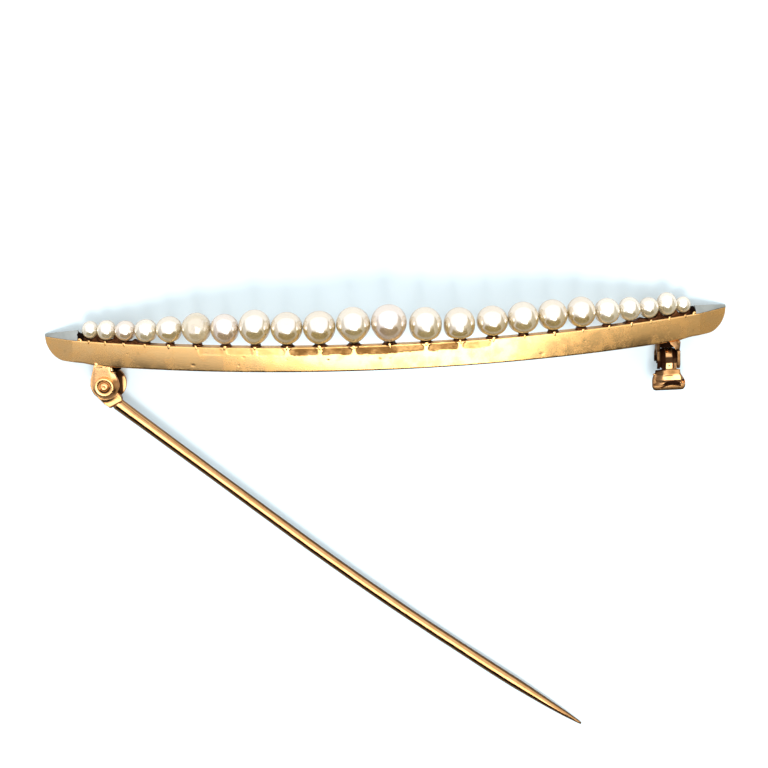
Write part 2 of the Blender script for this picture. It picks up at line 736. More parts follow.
@dataclass
class PearlRow(Fitting):
    """The row of half-drilled pearls, each cemented on its own peg.

    Attributes:
        pearls: The pearls from left to right.
        gap: Space between neighbours, and between a pearl and its cup and peg.
        slit: The wider space between some of them.
        slit_after: Numbers of the spaces that are so wide, from 0.
        shift: How far the row's middle lies right of the arch's top.
        cup: Height of the cups over the bar's edge.
        peg: Radius of the pegs.
        drilled: How deep a pearl is drilled, as a share of its width.
        pit_aim: Direction of the pit from the pearl's middle.
        pit_deep: Depth of the pit, as a share of the radius.
        pit_wide: Angle over which the pit fades.
        around: Points around a pearl.
        down: Rings from the top of a pearl to its base.
    """

    pearls: tuple[Pearl, ...] = (
        Pearl(1.35, 0.05, tone=WHITE),
        Pearl(1.55, 0.0, tone=WHITE, flat=0.3),
        Pearl(1.7, -0.1, tone=ROSE),
        Pearl(1.85, -0.05, tone=WHITE, flat=0.4),
        Pearl(2.1, 0.0, tone=IVORY, lean=-14, taper=0.1),
        Pearl(2.35, 0.1, tone=CHAMPAGNE, pit=True),
        Pearl(2.25, 0.15, tone=ROSE, lean=6),
        Pearl(2.5, 0.25, tone=IVORY, taper=0.06),
        Pearl(2.5, 0.05, tone=CREAM),
        Pearl(2.55, 0.05, tone=CREAM),
        Pearl(2.7, 0.15, tone=IVORY, taper=0.16),
        Pearl(2.79, 0.157, tone=ROSE, taper=0.05),
        Pearl(2.55, 0.05, tone=IVORY, flat=0.7),
        Pearl(2.45, -0.05, tone=CREAM, flat=0.9),
        Pearl(2.45, -0.1, tone=CREAM, flat=0.2, lean=5),
        Pearl(2.45, 0.0, tone=IVORY, flat=0.2, lean=-4),
        Pearl(2.35, 0.05, tone=CREAM, lean=4),
        Pearl(2.3, 0.1, tone=CREAM, flat=0.2),
        Pearl(2.05, 0.0, tone=WHITE, flat=0.2),
        Pearl(1.8, 0.1, tone=WHITE),
        Pearl(1.6, 0.05, tone=WHITE),
        Pearl(1.65, 0.2, tone=WHITE, lean=5),
        Pearl(1.3, 0.0, tone=WHITE),
    )
    gap: float = 0.02
    slit: float = 0.15
    slit_after: tuple[int, ...] = (11, 12, 13)
    shift: float = 0.08
    cup: float = 0.16
    peg: float = 0.2
    drilled: float = 0.4
    pit_aim: Triple = (0.02, 0.12, 1.0)
    pit_deep: float = 0.055
    pit_wide: float = 0.16
    around: int = 56
    down: int = 44

    def places(self) -> np.ndarray:
        """Distances of the pearls along the arch: the widths and gaps summed, and centred.

        Returns:
            One distance for each pearl.
        """
        wide = np.array([p.wide for p in self.pearls])
        gaps = np.full(len(wide) - 1, self.gap)
        gaps[list(self.slit_after)] = self.slit
        run = np.concatenate([[0.0], np.cumsum((wide[:-1] + wide[1:]) / 2 + gaps)])
        return run - run[-1] / 2 + self.shift

    def shape(self, pearl: Pearl, seed: int) -> np.ndarray:
        """Rings of one pearl with its base at the origin and Y up.

        The outer surface is a superellipse of revolution: at the polar angle t the radius is (sin t) to
        the power 2/p and the height (cos t) to the power 2/p, with p = 2 above and 2 + flat below. The
        lower radius is drawn in by the taper, and low waves around and down swell it by about one part in
        a hundred. Then it is turned by the lean and scaled back to its width and height. The drilled hole
        follows as the last rings.

        Args:
            pearl: Which pearl.
            seed: Seed of its waves.

        Returns:
            Points, as (rows, ring, 3).
        """
        t = latitudes(self.down + 1)
        turn = turns(self.around)[None, :]
        power = 2.0 / np.where(t < math.pi / 2, 2.0, 2.0 + pearl.flat)
        radius = np.sin(t) ** power
        height = np.sign(np.cos(t)) * np.abs(np.cos(t)) ** power
        radius = radius * (1.0 - pearl.taper * ease(0.0, 1.0, -height) * 1.2)
        phase = np.random.default_rng(seed).uniform(0.0, FULL_TURN, 4)
        swell = 1.0 + 0.010 * np.sin(2 * turn + phase[0]) * np.sin(t) ** 2
        swell = swell + 0.008 * np.sin(3 * turn + phase[1]) * np.sin(t) ** 3
        swell = swell + 0.008 * np.cos(3 * t + phase[2])
        swell = swell + 0.006 * np.sin(2 * t) * np.cos(turn + phase[3])
        x, z = radius * swell * np.sin(turn), radius * swell * np.cos(turn)
        y = height * swell
        if pearl.pit:
            aim = np.array(self.pit_aim) / np.linalg.norm(self.pit_aim)
            away = (x * aim[0] + y * aim[1] + z * aim[2]) / np.sqrt(x**2 + y**2 + z**2)
            press = 1.0 - self.pit_deep * np.exp(-((np.arccos(np.clip(away, -1, 1)) / self.pit_wide) ** 2))
            x, y, z = x * press, y * press, z * press
        lean = math.radians(pearl.lean)
        x, y = x * math.cos(lean) + y * math.sin(lean), y * math.cos(lean) - x * math.sin(lean)
        half, full = pearl.wide / 2, pearl.wide + pearl.tall
        x = (x - (x.max() + x.min()) / 2) / (np.ptp(x) / 2) * half
        z = (z - (z.max() + z.min()) / 2) / (np.ptp(z) / 2) * half
        y = (y - y.min()) / np.ptp(y) * full
        outer = np.stack([x, np.broadcast_to(y, x.shape), z], -1)
        hole = self.peg + self.gap
        wall = np.stack([hole * np.sin(turn[0]), np.zeros(self.around), hole * np.cos(turn[0])], -1)
        far = np.hypot(x, z) > hole + 0.02
        keep = outer[: int(np.nonzero(far.all(axis=1))[0].max()) + 1]
        lip = np.minimum(keep[-1][:, 1], 0.02).mean() + 0.015
        top = self.drilled * pearl.wide + 0.03
        inside = [wall + [0.0, lip, 0.0], wall + [0.0, (lip + top) / 2, 0.0], wall + [0.0, top, 0.0]]
        return np.concatenate([keep, np.stack(inside)])

    def build(self) -> None:
        """Makes the pearls, each standing for its own node."""
        finishes = {tone: Nacre(tone).material() for tone in PearlTone if tone is not CHAMPAGNE}
        finishes[CHAMPAGNE] = Nacre(CHAMPAGNE, lustre=2.2, coat=2.5, rough=0.24).material()
        base = BAR_EDGE + self.cup + self.gap
        for number, (pearl, along) in enumerate(zip(self.pearls, self.places()), 1):
            rings = self.shape(pearl, 40 + number)
            middle = self.arch.at(np.array(along), np.array(base), np.array(0.0))
            shell = Shell.lofted(self.arch.turn_to(along, rings) + middle)
            node = f"pearl_{number:02d}"
            nacre = finishes[pearl.tone]
            Piece(node + "_nacre", [shell], nacre, "crescent", "pearl", (node,)).make(self.stance)


@dataclass
class BarWall(Fitting):
    """The crescent's gold bar: a thin upright band bent over the arch, with filed ledges between the stubs.

    Attributes:
        half: Half the length of the crescent.
        high: Height of the bar.
        thick: Thickness of the bar.
        crown: How far the outer face bulges.
        prow: Half axes of the rounded prow at each tip.
        rise: How much higher the back edge lies at the tips.
        rise_over: Where along X it rises.
        tip: Thickness of the tips.
        taper: Length over which the bar narrows to each tip.
        lip: Radius of the lower corners.
        burr: Radius of the outer corner beside the pearls.
        shoulder: Radius of the inner corner beside the pearls.
        ledges: For each ledge, the pearls between which it is filed, and its depth.
        ledge_high: Height of the ledges.
        marks: Small pits: distance along the arch, height, radius and depth of each.
        stations: Rings along the bar.
        face_rows: Steps down the outer face.
        corner_rows: Steps around a corner.
        edge_rows: Steps across the back edge and the pearl edge.
        inner_rows: Steps up the inner face.
    """

    half: float = 27.495
    high: float = 2.0
    thick: float = 0.95
    crown: float = 0.026
    prow: tuple[float, float] = (1.6, 1.82)
    rise: float = 0.15
    rise_over: tuple[float, float] = (22.9, 24.4)
    tip: float = 0.24
    taper: float = 3.2
    lip: float = 0.11
    burr: float = 0.07
    shoulder: float = 0.24
    ledges: tuple[tuple[int, int, float], ...] = (
        (6, 7, 0.012), (7, 8, 0.016), (8, 9, 0.02), (9, 10, 0.09), (10, 11, 0.11), (11, 13, 0.12),
        (13, 14, 0.1), (14, 15, 0.05),
    )
    ledge_high: float = 0.62
    marks: tuple[tuple[float, float, float, float], ...] = (
        (-4.7, -0.02, 0.07, 0.03), (-0.7, -0.05, 0.10, 0.03), (0.1, -0.05, 0.06, 0.02),
        (3.75, 0.3, 0.07, 0.02), (7.4, 0.35, 0.07, 0.02), (-11.3, 0.25, 0.08, 0.02),
        (-11.7, -0.45, 0.06, 0.015), (-15.4, -0.5, 0.12, 0.015), (12.0, -0.55, 0.14, 0.012),
        (-20.9, 0.2, 0.05, 0.01), (15.5, 0.1, 0.06, 0.012), (-7.9, 0.05, 0.05, 0.015),
    )
    stations: int = 1001
    face_rows: int = 36
    corner_rows: int = 5
    edge_rows: int = 7
    inner_rows: int = 12

    def section(self) -> tuple[np.ndarray, ...]:
        """One ring of the bar in shares of its half height and half thickness and of its corner radii.

        Returns:
            Shares of the half height and of the lower, upper outer and upper inner corner radii in y,
            then of the half thickness and the same radii outwards.
        """
        bend = quarter(self.corner_rows)
        sin, cos = np.sin(bend), np.cos(bend)
        rows = (self.face_rows, self.inner_rows, self.edge_rows)
        face, back, rim = (np.linspace(0.0, 1.0, count + 1)[1:-1] for count in rows)
        parts = [
            # the corner between the pearl edge and the outer face
            (1, 0, cos - 1, 0, 1, 0, sin - 1, 0),
            # the outer face, downwards
            (1 - 2 * face, face, face - 1, 0, 1, 0, 0, 0),
            # the corner between the outer face and the back edge
            (-1, 1 - sin, 0, 0, 1, cos - 1, 0, 0),
            # the back edge, inwards
            (-1, 0, 0, 0, 1 - 2 * rim, 2 * rim - 1, 0, 0),
            # the corner between the back edge and the inner face
            (-1, 1 - cos, 0, 0, -1, 1 - sin, 0, 0),
            # the inner face, upwards
            (2 * back - 1, 1 - back, 0, -back, -1, 0, 0, 0),
            # the corner between the inner face and the pearl edge
            (1, 0, 0, sin - 1, -1, 0, 0, 1 - cos),
            # the pearl edge, outwards
            (1, 0, 0, 0, 2 * rim - 1, 0, -rim, 1 - rim),
        ]
        columns = zip(*(np.broadcast_arrays(*part) for part in parts))
        return tuple(np.concatenate(column) for column in columns)

    def relief(self, along: np.ndarray, y: np.ndarray, seats: np.ndarray) -> tuple[np.ndarray, np.ndarray]:
        """How deep the outer face lies below its smooth form, and how much of that is filed.

        A ledge is a product of smooth steps between two stubs and above a wavering line, and a pit is a
        bell curve.

        Args:
            along: Distance along the arch.
            y: Height on the bar.
            seats: Where the pearls stand along the arch.

        Returns:
            The depth, and a mark that is 1 on the ledges.
        """
        waver = 0.06 * drift(along * 2.3, along * 0, 3) + 0.03 * drift(along * 9.0, along * 0, 4)
        low = self.high / 2 - self.ledge_high + waver
        rise = ease(0.0, 0.07, y - low) * (0.7 + 0.3 * ease(low, low + self.ledge_high, y))
        depth = np.zeros_like(along)
        filed = np.zeros_like(along)
        for first, second, deep in self.ledges:
            wobble = 0.05 * drift(y * 6.0, y * 0 + first, 5)
            flare = 0.15 + 0.2 * ease(0.78, 1.0, y) + 0.07 * (1 - ease(low, low + 0.16, y))
            start, end = seats[first - 1] + flare + wobble, seats[second - 1] - flare + wobble
            span = ease(start, start + 0.09, along) * (1 - ease(end - 0.09, end, along))
            depth = depth + deep * span * rise
            filed = filed + span * ease(0.0, 0.05, y - low) * min(1.0, deep / 0.08)
        scrape = 0.5 + 0.5 * drift(along * 5.0, y * 14.0, 6)
        depth = depth * (0.8 + 0.35 * scrape)
        filed = filed * (1 - 0.7 * ease(0.86, 0.95, y))
        for s, v, radius, deep in self.marks:
            depth = depth + deep * np.exp(-(((along - s) / radius) ** 2 + ((y - v) / (0.7 * radius)) ** 2))
        return depth, filed

    def build(self, seats: np.ndarray, gold: Material) -> None:
        """Makes the bar: its ring carried along the arch, narrowed at the tips and pressed in by the relief.

        Args:
            seats: Where the pearls stand along the arch.
            gold: The bar's finish.
        """
        reach = self.arch.length_to(self.half)
        t = np.linspace(-1.0, 1.0, self.stations)
        along = (reach * (0.5 * t + 0.5 * np.sin(t * math.pi / 2)))[:, None]
        x = np.abs(self.arch.radius * np.sin(along / self.arch.radius))
        long, deep = self.prow
        over = np.clip((x - (self.half - long)) / long, 0.0, 1.0)
        low = -self.high / 2 + self.rise * ease(*self.rise_over, x) + deep * (1 - np.sqrt(1 - over**2))
        high = np.full_like(low, self.high / 2)
        half_high, middle = (high - low) / 2, (high + low) / 2
        left = reach - np.abs(along)
        widen = self.thick / 2 - self.tip / 2 + 0.05
        half_thick = np.minimum(self.thick / 2, self.tip / 2 + left / self.taper * widen)
        radius = np.minimum(self.lip, 0.45 * np.minimum(half_high, half_thick))
        burr = np.minimum(self.burr, radius)
        shoulder = np.minimum(self.shoulder, 0.45 * np.minimum(half_high, half_thick))
        shares = (part[None, :] for part in self.section())
        y_share, y_low, y_burr, y_in, z_share, z_low, z_burr, z_in = shares
        y = middle + half_high * y_share + radius * y_low + burr * y_burr + shoulder * y_in
        out = half_thick * z_share + radius * z_low + burr * z_burr + shoulder * z_in
        top = ease(0.3, 1.0, y) * ease(0.0, 3.0, left)
        under_roof = ease(3.4, 2.6, left)
        y = y + top * 0.022 * drift(along * 3.1, along * 0, 8) * under_roof
        depth, filed = self.relief(along + 0 * y, y, seats)
        outer = np.clip(out / half_thick, 0.0, 1.0)
        out = out - (depth + self.crown * y**2) * outer
        rings = self.arch.at(along + 0 * y, y, out, ease(0.0, self.taper, self.taper - left))
        pits = np.clip(depth / 0.03, 0.0, 1.0) * (filed < 0.05) * outer
        edge = ease(0.965, 0.999, y) * (1 - 0.85 * ease(0.8, 1.0, outer))
        grime = 0.30 + 0.62 * ease(14.5, 18.5, np.abs(along))
        grime = grime * (0.75 + 0.25 * drift(along * 1.7, along * 0, 12))
        tarnish = np.clip(0.6 * pits + grime * edge * ease(2.6, 3.2, left), 0, 1)
        marks = {"filed": np.clip(filed, 0, 1) * outer, "tarnish": tarnish}
        shell = Shell.lofted(rings, {k: m + 0 * y for k, m in marks.items()})
        Piece("gold_bar", [shell], gold, stands_for=("crescent_bar",)).make(self.stance)


@dataclass
class PearlSeats(Fitting):
    """Cups and pegs under the pearls, claws in front of them, and the cement and grain at the row's ends.

    Attributes:
        row: The pearls.
        flare: Radius of a cup at its foot, as a share of the pearl's width.
        waist: Its radius at the top, in the same way.
        foot_half: Half the foot's thickness across the bar at most.
        claw_out: Distance of the claws outwards.
        grain: Radius of the end grains.
        grain_left: How far each grain lies from its tip.
        cement_over: Between which distances along the arch the cement lies.
        cement_half: Half its thickness.
        around: Points around a cup.
    """

    row: PearlRow = field(default_factory=PearlRow)
    flare: float = 0.25
    waist: float = 0.17
    foot_half: float = 0.36
    claw_out: float = 0.455
    grain: float = 0.22
    grain_left: tuple[float, float] = (3.2, 3.0)
    cement_over: tuple[float, float] = (19.0, 25.45)
    cement_half: float = 0.34
    around: int = 28

    def cup_shell(self, wide: float, seed: int) -> Shell:
        """Cup and peg of a pearl of that width, turned about Y with the bar's edge at 0.

        The cup's side is a curve that falls from the waist to the flare with the square of the depth. It is
        drawn narrower across the bar, and its foot wavers like cement that has set unevenly.

        Args:
            wide: The pearl's width.
            seed: Seed of the foot's waver.

        Returns:
            The closed shell, with Y up.
        """
        t = np.linspace(0.0, 1.0, 7)
        row = self.row
        side = wide * (self.waist + (self.flare - self.waist) * (1 - t) ** 2)
        radius = np.concatenate([[0.6 * side[0]], side, [side[-1] - 0.02, row.peg, row.peg, 0.7 * row.peg]])
        top = row.cup + row.drilled * wide
        height = np.concatenate([[-0.06], -0.05 + (row.cup + 0.04) * t, [row.cup, row.cup, top - 0.03, top]])
        lathe = Shell.turned(radius, height, self.around)
        x, z, y = lathe.points.T
        foot = 1 - ease(0.4 * row.cup, row.cup, y)
        waver = 1 + 0.22 * foot * drift(3 + 2.2 * x / wide, 3 + 2.2 * z / wide + y, seed)
        narrow = 1 - foot * np.clip(1 - self.foot_half / np.maximum(side[0], 0.01), 0.0, 1.0)
        return lathe.moved(np.stack([x * waver, y, -z * waver * narrow], -1))

    def claw_shell(self, seed: int) -> Shell:
        """Small wedge of solder: a flat ellipsoid drawn out downwards, no two alike.

        Args:
            seed: Seed of its size and lean.

        Returns:
            The closed shell, with Y up and its top at the cup.
        """
        dice = np.random.default_rng(seed)
        t, turn = latitudes(14), turns(16)[None, :]
        width = 0.09 * dice.uniform(0.6, 1.3) * (1 + 0.7 * np.clip(np.cos(t), 0, 1))
        x = width * np.sin(t) * np.cos(turn) + 0.05 * dice.uniform(-1, 1) * np.cos(t)
        y = 0.2 * dice.uniform(0.6, 1.1) * np.cos(t) - 0.05
        z = 0.03 * np.sin(t) * np.sin(turn)
        return Shell.lofted(np.stack([x, y + 0 * x, z], -1))

    def cement_shell(self, side: int) -> Shell:
        """Dark cement that fills the row's end: a softened strip that dips under each pearl.

        Its height is a low step under a pearl, plus a share of the pearl's width that grows with the
        square of the distance from the pearl's middle, and it ends in a hump beside the tip's roof.

        Args:
            side: -1 for the left end, 1 for the right.

        Returns:
            The closed shell, with its length along X and the bar's edge at 0.
        """
        along = np.linspace(*self.cement_over, 200)
        seats, wide = side * self.row.places(), np.array([pearl.wide for pearl in self.row.pearls])
        gap = np.abs(along[:, None] - seats[None, :])
        near = gap.argmin(axis=1)
        off = np.clip(gap.min(axis=1) / (0.5 * wide[near]), 0.0, 1.0)
        start, end = self.cement_over
        full = ease(start, start + 3.2, along)
        high = 0.11 + 0.05 * full + 0.27 * wide[near] * off**2 * full
        high = high * (1 + 0.25 * drift(along * 3.0, along * 0 + side, 61))
        last = seats.max()
        hump = np.maximum(high, 0.5 * ease(last + 0.35, last + 0.7, along))
        high = np.where(along > last, hump, high)
        close = ease(start, start + 0.3, along) * ease(0.0, 0.06, end - along)
        high = (high * close + 0.01)[:, None]
        half = (self.cement_half * (0.85 + 0.15 * drift(along * 2.4, along * 0 + side, 62)))[:, None]
        across = np.concatenate([-half, -half, -0.4 * half, 0.4 * half, half, half], 1)
        up = np.concatenate([0 * high - 0.08, 0.7 * high, high, high, 0.7 * high, 0 * high - 0.08], 1)
        ring = soften(np.stack([across, up], -1), 0.08, 4)
        black = ease(last + 0.25, last + 0.6, along)[:, None] + 0 * ring[..., 0]
        points = np.stack([side * along[:, None] + 0 * ring[..., 0], ring[..., 1], ring[..., 0]], -1)
        return Shell.lofted(points, {"tarnish": black})

    def grain_shell(self) -> Shell:
        """Grain of gold with a punched middle: a ball whose radius dips around its front pole.

        Returns:
            The closed shell.
        """
        t, turn = latitudes(26), turns(28)[None, :]
        radius = self.grain * (1 - 0.55 * np.exp(-((t / 0.42) ** 2)))
        x, y, z = radius * np.sin(t) * np.cos(turn), radius * np.sin(t) * np.sin(turn), radius * np.cos(t)
        return Shell.lofted(np.stack([x, y, z + 0 * x], -1))

    def set_on(self, shell: Shell, along: float, up: float, out: float) -> Shell:
        """Sets a shell on the arch, with its Y towards the pearls and its Z outwards.

        Args:
            shell: The shell, about the origin.
            along: Distance along the arch.
            up: Height of its origin.
            out: Distance of its origin outwards.

        Returns:
            The moved shell.
        """
        place = self.arch.at(np.array(along), np.array(up), np.array(out))
        return shell.moved(self.arch.turn_to(along, shell.points) + place)

    def build(self, dark: Material, gold: Material) -> None:
        """Makes the cups with the cement, and the claws with the end grains.

        Args:
            dark: Finish of the cups and the cement.
            gold: Finish of the claws and grains.
        """
        cups, claws = [], []
        for side in (-1, 1):
            strip = self.cement_shell(side)
            x, y, z = strip.points.T
            cups.append(strip.moved(self.arch.at(x, BAR_EDGE + y, z)))
        for number, (pearl, along) in enumerate(zip(self.row.pearls, self.row.places())):
            cup, claw = self.cup_shell(pearl.wide, 90 + number), self.claw_shell(70 + number)
            cups.append(self.set_on(cup, along, BAR_EDGE, 0.0))
            claws.append(self.set_on(claw, along, BAR_EDGE, self.claw_out))
        for side in (-1, 1):
            along = side * (self.arch.length_to(TIP) - self.grain_left[side > 0] - self.grain - 0.05)
            claws.append(self.set_on(self.grain_shell(), along, BAR_EDGE - 0.02, BAR_FACE - self.grain))
        Piece("pearl_cups", cups, dark).make(self.stance)
        Piece("claws_and_grains", claws, gold).make(self.stance)


@dataclass
class TipCaps(Fitting):
    """The platinum roofs on the two tips: a ridge that falls to the point, over the tip's own outline.

    Attributes:
        long: Length of the left and the right roof.
        high: Height of their ridges over the bar's edge.
        point_high: Height of the ridge at the point.
        seam: Height of the roofs' foot over the bar's edge.
        point_half: Half a roof's thickness at the point.
        most_half: Half its thickness at most.
        taper: Distance from the point over which a roof grows thicker.
        widen: How much thicker each half of it grows over that distance.
        pitch_half: Half thickness over which its sides fall by the height of its ridge.
        blunt: Share of its length over which its inner end is rounded.
        drawn: How far the ridge reaches back over the row.
        rows: Rings along a roof.
    """

    long: tuple[float, float] = (3.32, 3.16)
    high: tuple[float, float] = (0.78, 0.62)
    point_high: float = 0.2
    seam: float = 0.01
    point_half: float = 0.118
    most_half: float = 0.47
    taper: float = 3.2
    widen: float = 0.405
    pitch_half: float = 0.495
    blunt: float = 0.04
    drawn: float = 0.14
    rows: int = 60

    def shell(self, side: int) -> Shell:
        """One roof: a softened five-cornered section carried along the arch to the point.

        Args:
            side: -1 for the left tip, 1 for the right.

        Returns:
            The closed shell.
        """
        reach = self.arch.length_to(TIP)
        long, high = self.long[side > 0], self.high[side > 0]
        t = np.linspace(0.0, 1.0, self.rows)[:, None]
        end = self.blunt - np.sqrt(np.clip(self.blunt**2 - (self.blunt - t) ** 2, 0, None))
        end = np.where(t < self.blunt, end, 0.0)
        left = long * (1 - t)
        ridge = self.point_high + (high - self.point_high) * (1 - t) ** 0.85 - end * 0.5
        half_thick = np.minimum(self.most_half, self.point_half + left / self.taper * self.widen) - end * 0.5
        eaves = np.maximum(ridge - half_thick * high / self.pitch_half, 0.015)
        zero = np.zeros_like(left)
        across = np.concatenate([-half_thick, -half_thick, zero, half_thick, half_thick], 1)
        up = np.concatenate([zero, eaves, ridge, eaves, zero], 1)
        ring = soften(np.stack([across, up], -1), 0.035, 5)
        drawn = self.drawn * (1 - t) ** 6 * (1 - np.abs(ring[..., 0]) / half_thick)
        along = side * (reach - left + drawn)
        up, upright = BAR_EDGE + self.seam + ring[..., 1], ease(0.0, self.taper, self.taper - left)
        return Shell.lofted(self.arch.at(along, up, ring[..., 0], upright))

    def build(self, platinum: Material) -> None:
        """Makes both roofs, each standing for its own node.

        Args:
            platinum: Their finish.
        """
        for side, name in ((-1, "left_tip_cap"), (1, "right_tip_cap")):
            shell = self.shell(side)
            Piece(name + "_roof", [shell], platinum, "crescent", "platinum", (name,), 30.0).make(self.stance)


@dataclass(frozen=True)
class Lump:
    """Lump of solder or flux: an ellipsoid whose radius wanders by a fifth.

    Attributes:
        at: Its middle, from the place that it sits at.
        size: Its half sizes.
        seed: Seed of its wander.
    """

    at: Triple
    size: Triple
    seed: int

    def shell(self, place: np.ndarray) -> Shell:
        """Makes its closed shell.

        Args:
            place: The place that it sits at.

        Returns:
            The shell.
        """
        t, turn = latitudes(22), turns(32)[None, :]
        east, north = np.cos(turn) * np.sin(t), np.sin(turn) * np.sin(t)
        wander = 1 + 0.2 * drift(2 + east * 1.6, 2 + north * 1.6 + t, self.seed)
        unit = np.stack([east, north, np.cos(t) + 0 * turn], -1)
        return Shell.lofted(place + np.array(self.at) + unit * wander[..., None] * np.array(self.size))


def drilled_plate(
    inner: float, outer: np.ndarray, low: float, high: float, cut: float, fall: np.ndarray | float = 0.0
) -> tuple[np.ndarray, np.ndarray]:
    """Sections of a plate around a hole: over its face, round its edge, back beneath and up in the hole.

    The face falls by a smooth step over the last 0.35 mm, and every edge is a quarter circle.

    Args:
        inner: Radius of the hole.
        outer: Distance of the outline in each direction.
        low: Height of the underside.
        high: Height of the upper side.
        cut: Radius of its edges.
        fall: How far the face falls towards the outline in each direction.

    Returns:
        Distances from the hole's middle, and heights, as (directions, ring).
    """
    outer = outer[:, None]
    fall = np.broadcast_to(np.asarray(fall, float).reshape(-1, 1), outer.shape)
    bend = quarter(6)[None, :]
    out = inner + cut + (outer - inner - 2 * cut) * np.linspace(0.0, 1.0, 20)[None, :]
    face = high - fall * ease(outer - 0.35 - cut, outer - cut, out)
    sin, cos = np.sin(bend), np.cos(bend)
    brim, rim = outer - cut, inner + cut
    reach = [out, brim + cut * sin, brim + cut * cos, rim - cut * sin, rim - cut * cos]
    level = [high - fall - cut + cut * cos, low + cut - cut * sin, low + cut - cut * cos]
    level = level + [high - cut + cut * sin]
    reach = np.concatenate([part + 0 * outer for part in reach], 1)
    return reach, np.concatenate([face] + [part + 0 * outer for part in level], 1)


